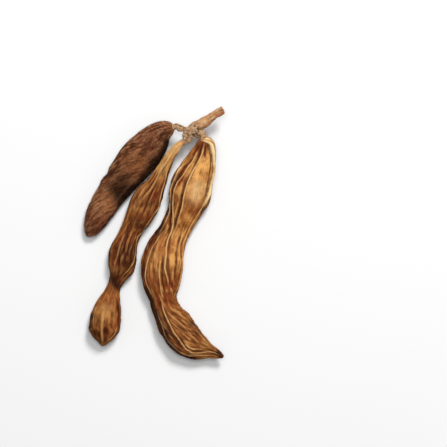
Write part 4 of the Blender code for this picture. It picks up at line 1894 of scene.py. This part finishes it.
# Furrows and bands of the middle pod: their dark stain is painted shade, their red stain the husk's reddish
# colour.
MIDDLE_FURROWS = (
    Rib((
        (8.8, 30.6), (7.2, 27.4), (5.9, 24.2), (5.0, 20.6), (4.4, 17.0),
    ), 0.0, 0.5, red=1.3, dark=0.5, stain=1.0),
    Rib(((5.2, 24.0), (3.2, 20.4), (1.7, 17.0), (0.2, 13.4), (-1.4, 9.6)), 0.15, 0.6, red=0.5, stain=0.9),
    Rib((
        (1.0, 22.6), (-1.2, 18.2), (-3.6, 14.8), (-6.0, 11.2), (-7.8, 7.4),
    ), -0.2, 0.4, dark=0.3, red=0.5, stain=0.9),
    Rib(((4.6, 22.0), (3.4, 18.0), (1.9, 13.4), (0.6, 9.6), (-1.6, 6.0)), -0.25, 0.5, red=0.9, stain=1.0),
    Rib((
        (-7.6, 0.5), (-9.2, -3.6), (-10.2, -7.6), (-11.4, -11.0),
    ), -0.25, 0.4, dark=0.6, red=0.5, stain=0.9, fade=2.5),
    Rib((
        (-9.6, 1.6), (-12.0, -3.6), (-13.4, -8.4), (-14.6, -12.4),
    ), -0.25, 0.45, dark=0.5, red=0.5, stain=0.9, fade=2.5),
    Rib((
        (-14.8, -24.5), (-13.7, -28.0), (-13.4, -31.5), (-13.8, -35.0),
    ), -0.1, 0.8, red=0.9, dark=0.5, stain=1.0, fade=2.5),
    Rib((
        (9.9, 34.4), (7.4, 32.0), (4.9, 28.2), (2.7, 24.2),
    ), -0.15, 0.22, dark=0.4, red=0.5, stain=0.9, fade=2.0),
)

MIDDLE_STAINS = {
    Tint.PALE: (
        (8.2, 32.4, 2.4, 0.55), (5.2, 29.6, 2.2, 0.55), (3.0, 25.4, 1.8, 0.35),
    ),
    # Dark blotches: painted shade along the right half, at the waist and along the bulb's flanks; the pressed
    # one at (-18.3, -37.2) is a dark spot pressed into the husk.
    Tint.DARK: (
        (-6.0, 3.5, 2.5, 0.6), (-9.6, -8.0, 4.0, 0.5), (-1.5, 11.0, 2.2, 0.4), (-11.2, -12.5, 2.2, 0.5),
        (-15.6, -17.6, 2.2, 0.95), (-14.2, -20.6, 2.0, 0.85), (-24.0, -32.0, 1.3, 0.9),
        (-24.4, -35.4, 1.3, 0.9), (-13.6, -38.4, 1.3, 0.7), (-18.3, -37.4, 1.2, 0.5, -0.35),
        (-22.6, -37.6, 1.2, 0.8),
    ),
    Tint.RED: (
        (-4.5, 6.0, 2.5, 0.7), (-9.0, -2.5, 2.2, 0.6), (-15.6, -11.6, 2.2, 0.7), (-2.0, 15.0, 3.5, 0.5),
        (-11.5, -3.0, 3.0, 0.5), (-13.8, -18.6, 2.2, 1.0), (-17.3, -26.0, 1.6, 0.6),
        (-18.3, -37.2, 1.5, 0.7), (-14.8, -35.2, 1.8, 0.7),
    ),
    Tint.GOLD: (
        (9.5, 33.0, 4.0, 1.0), (3.5, 25.0, 4.0, 0.8), (-3.6, 14.6, 2.4, 0.8), (-6.8, 9.6, 1.8, 0.5),
        (-15.2, -5.4, 1.8, 0.7), (-15.5, -13.0, 1.8, 0.8), (-18.5, -30.0, 3.0, 0.5),
    ),
    Tint.BROWN: (
        (-2.0, 12.0, 5.0, 0.5), (-8.0, 1.0, 5.0, 0.9), (-11.0, -8.0, 6.0, 1.8), (-21.5, -39.0, 2.5, 0.8),
        (1.8, 14.0, 3.0, 0.9),
    ),
}

LEFT_RIBS = (
    Rib((
        (5.0, 36.5), (1.5, 31.5), (-3.0, 26.0), (-8.0, 20.0), (-13.0, 13.5), (-18.0, 7.0), (-22.0, 1.5),
    ), 0.15, 1.0, pale=0.12),
    Rib((
        (2.0, 38.5), (-4.0, 33.5), (-10.0, 27.0), (-15.5, 20.0), (-20.0, 12.5), (-23.5, 5.0),
    ), 0.15, 1.1, pale=0.12),
    Rib(((3.0, 37.0), (-2.0, 31.5), (-8.0, 25.0), (-13.5, 18.0), (-18.5, 10.0)), -0.12, 0.9, dark=0.1),
)

LEFT_STREAKS = tuple(
    Rib(points, 0.12, width, pale=pale, shade=0.6, fade=1.5) for points, width, pale in (
        (((-18.6, 15.8), (-21.6, 14.2), (-24.0, 12.6)), 0.3, 0.65),
        (((-14.6, 15.0), (-19.0, 13.2), (-23.6, 11.0)), 0.35, 0.55),
        (((-17.6, 11.6), (-21.4, 9.2), (-24.4, 7.0)), 0.35, 0.45),
        (((-15.2, 10.4), (-19.0, 7.8), (-22.6, 5.4)), 0.3, 0.3),
        (((-19.6, 7.8), (-22.4, 5.8), (-24.8, 3.6)), 0.35, 0.35),
        (((-18.6, 5.6), (-21.0, 3.4), (-23.0, 1.0)), 0.3, 0.3),
    )
)

# Painted shade along the left pod's side that lies under the middle pod.
LEFT_SHADED_SIDE = Rib((
    (7.0, 34.5), (5.2, 30.6), (0.6, 23.4), (-4.2, 18.0), (-8.5, 13.5), (-14.6, 8.6),
), 0.0, 3.3, dark=1.7, stain=1.0)

# Painted shade along the same side towards the tip.
LEFT_SHADED_TIP_SIDE = Rib((
    (-10.4, 12.0), (-14.2, 8.2), (-18.0, 3.4), (-21.2, 0.2),
), 0.0, 1.5, dark=1.0, stain=1.0, fade=3.0)

LEFT_STAINS = {
    Tint.PALE: (
        (-20.0, 10.0, 4.0, 0.3),
    ),
    # Dark blotches: painted shade in the pressed crease between the two chambers and on the side under the
    # middle pod.
    Tint.DARK: (
        (-12.4, 19.8, 3.6, 0.4), (-17.8, 22.6, 1.6, 0.5, -0.42), (-16.6, 17.6, 2.0, 0.4, -0.24),
        (-14.2, 15.7, 2.2, 0.4, -0.2), (-11.8, 13.8, 2.6, 0.5, -0.2), (-8.0, 15.0, 4.5, 0.6),
    ),
    Tint.RED: (
        (-20.0, 5.0, 4.0, 0.6), (-19.4, 20.0, 1.4, 0.3, 0.2), (-1.0, 34.0, 4.0, 0.2),
    ),
    Tint.GOLD: (
        (-6.0, 25.5, 5.0, 0.7), (-19.0, 11.0, 4.5, 1.2),
    ),
}

LEFT_HUSK = Husk(
    "left_pod", "dark_velvet", LEFT_STATIONS, rings=260, sides=200,
    ribs=(*LEFT_RIBS, *LEFT_STREAKS, LEFT_SHADED_SIDE, LEFT_SHADED_TIP_SIDE), under_ribs=LEFT_RIBS,
    wrinkles=(
        Wrinkle(0.9, 5.5, -0.3, 0.04, 0.0, 0.62),
        Wrinkle(0.9, 5.5, -0.3, 0.14, 0.62, 1.0),
        Wrinkle(0.6, 3.0, -0.35, 0.05),
    ),
    blotches=blotches(LEFT_STAINS), swell=0.1, swell_size=5.0, seed=11, inset=0.4, painted_flank_shade=0.7,
)

MIDDLE_HUSK = Husk(
    "middle_pod", "brown_shell", MIDDLE_STATIONS, rings=380, sides=144,
    ribs=(*MIDDLE_RIBS, *MIDDLE_FURROWS), under_ribs=MIDDLE_RIBS,
    wrinkles=(
        Wrinkle(1.5, 11.0, 0.03, 0.22, 0.0, 0.74),
        Wrinkle(1.5, 7.0, 0.03, 0.09, 0.74, 1.0),
        Wrinkle(0.6, 5.0, 0.06, 0.11),
        Wrinkle(0.9, 1.6, 0.4, 0.04),
    ),
    blotches=blotches(MIDDLE_STAINS), swell=0.2, swell_size=4.0, seed=12, painted_flank_shade=0.6,
)

RIGHT_HUSK = Husk(
    "right_pod", "golden_shell", RIGHT_STATIONS, rings=400, sides=236,
    ribs=(*RIGHT_SUTURE, *RIGHT_RIBS, *RIGHT_FURROWS, *RIGHT_RED_AND_SHADED_FLANKS), under_ribs=RIGHT_RIBS,
    wrinkles=(
        Wrinkle(1.8, 13.0, 0.03, 0.2),
        Wrinkle(0.7, 6.0, 0.05, 0.06, 0.0, 0.33),
        Wrinkle(0.7, 6.0, 0.05, 0.12, 0.33, 0.72),
        Wrinkle(1.2, 1.8, 0.5, 0.04, 0.0, 0.7),
        Wrinkle(0.66, 4.4, 0.28, 0.14, 0.70, 0.99),
        Wrinkle(0.45, 3.4, 0.2, 0.1, 0.70, 0.99),
    ),
    blotches=blotches(RIGHT_STAINS), swell=0.22, swell_size=4.5, seed=13,
)

THIN_COAT = {"length": 0.45, "spread": 0.4, "thickness": 0.03, "lift": 12.0, "scatter": 14.0}
LEFT_COAT = Coat(
    50000, 0.95, 0.4, 0.045, lift=16.0, lay=11.0, scatter=12.0, seed=21, contrast=0.5, twist=18.0, tuft=0.5
)
MIDDLE_COAT = Coat(15000, lay=4.0, seed=22, **THIN_COAT)
RIGHT_COAT = Coat(22000, lay=3.0, seed=23, **THIN_COAT)

DARK_HUSK = HuskFinish(
    "dark_velvet_husk", deep=(88, 50, 30), base=(128, 76, 46), light=(156, 99, 63), pale=(186, 134, 92),
    dark=(26, 13, 8), red=(116, 54, 32), gold=(158, 98, 54), streak=0.4,
)
BROWN_HUSK = HuskFinish(
    "brown_shell_husk", deep=(100, 48, 18), base=(156, 90, 42), light=(202, 138, 74), pale=(238, 190, 124),
    dark=(44, 18, 7), red=(124, 50, 24), gold=(228, 170, 98),
)
GOLDEN_HUSK = HuskFinish(
    "golden_shell_husk", deep=(140, 78, 32), base=(196, 126, 60), light=(236, 176, 102),
    pale=(252, 218, 160), dark=(54, 24, 10), red=(136, 58, 28), gold=(246, 182, 104),
)
WOOD = WoodFinish(
    "dry_stalk_wood", base=(212, 173, 126), grey=(180, 148, 115), warm=(184, 118, 76), dark=(54, 31, 20)
)
DARK_HAIR = HairFinish(
    "dark_velvet_hair", dark=(46, 24, 15), middle=(184, 114, 74), light=(250, 192, 142), red=(168, 80, 50),
    gold=(226, 150, 94),
)
BROWN_HAIR = HairFinish(
    "brown_hair", dark=(100, 50, 20), middle=(168, 98, 46), light=(230, 172, 106), red=(128, 54, 27),
    gold=(232, 172, 100),
)
GOLDEN_HAIR = HairFinish(
    "golden_hair", dark=(130, 72, 30), middle=(202, 132, 66), light=(248, 200, 134), red=(144, 64, 32),
    gold=(248, 188, 110),
)

PODS = (
    (LEFT_HUSK, DARK_HUSK, LEFT_COAT, DARK_HAIR),
    (MIDDLE_HUSK, BROWN_HUSK, MIDDLE_COAT, BROWN_HAIR),
    (RIGHT_HUSK, GOLDEN_HUSK, RIGHT_COAT, GOLDEN_HAIR),
)

STALK = Stalk("stalk", STALK_SECTIONS, STUB_SECTIONS, FORK_KNOBS, voxel=0.12, seed=41)
STEMS = (
    PodStem(
        "left_pod_stem",
        (Section(13.6, 38.4, 9.1, 1.1), Section(11.5, 39.0, 9.1, 1.0), Section(9.8, 39.6, 8.9, 1.2)),
        LEFT_STATIONS, end_radius=1.1, reach=1.0, pale=0.7, seed=31,
    ),
    PodStem(
        "middle_pod_stem", (Section(12.8, 37.5, 8.95, 1.0), Section(11.9, 36.0, 8.7, 1.1)),
        MIDDLE_STATIONS, end_radius=1.0, reach=1.2, pale=0.3, seed=32,
    ),
    PodStem(
        "right_pod_stem", (Section(16.2, 39.0, 9.0, 1.2), Section(17.8, 37.9, 8.7, 1.25)),
        RIGHT_STATIONS, end_radius=1.35, reach=1.2, pale=0.5, seed=33,
    ),
)


def main() -> None:
    """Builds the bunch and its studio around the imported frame."""
    logging.basicConfig(level=logging.INFO, format="%(name)s: %(message)s")
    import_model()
    wood = WOOD.build()
    pieces = []
    for husk, skin, coat, hair in PODS:
        pieces += [husk.build(skin.build()), husk.hairs(coat, hair.build())]
    pieces += [part.build(wood) for part in (STALK, *STEMS)]
    for piece in pieces:
        LOG.info("%s: %d faces", piece.name, len(piece.data.polygons))
    Studio().build()


if __name__ == "__main__":
    main()
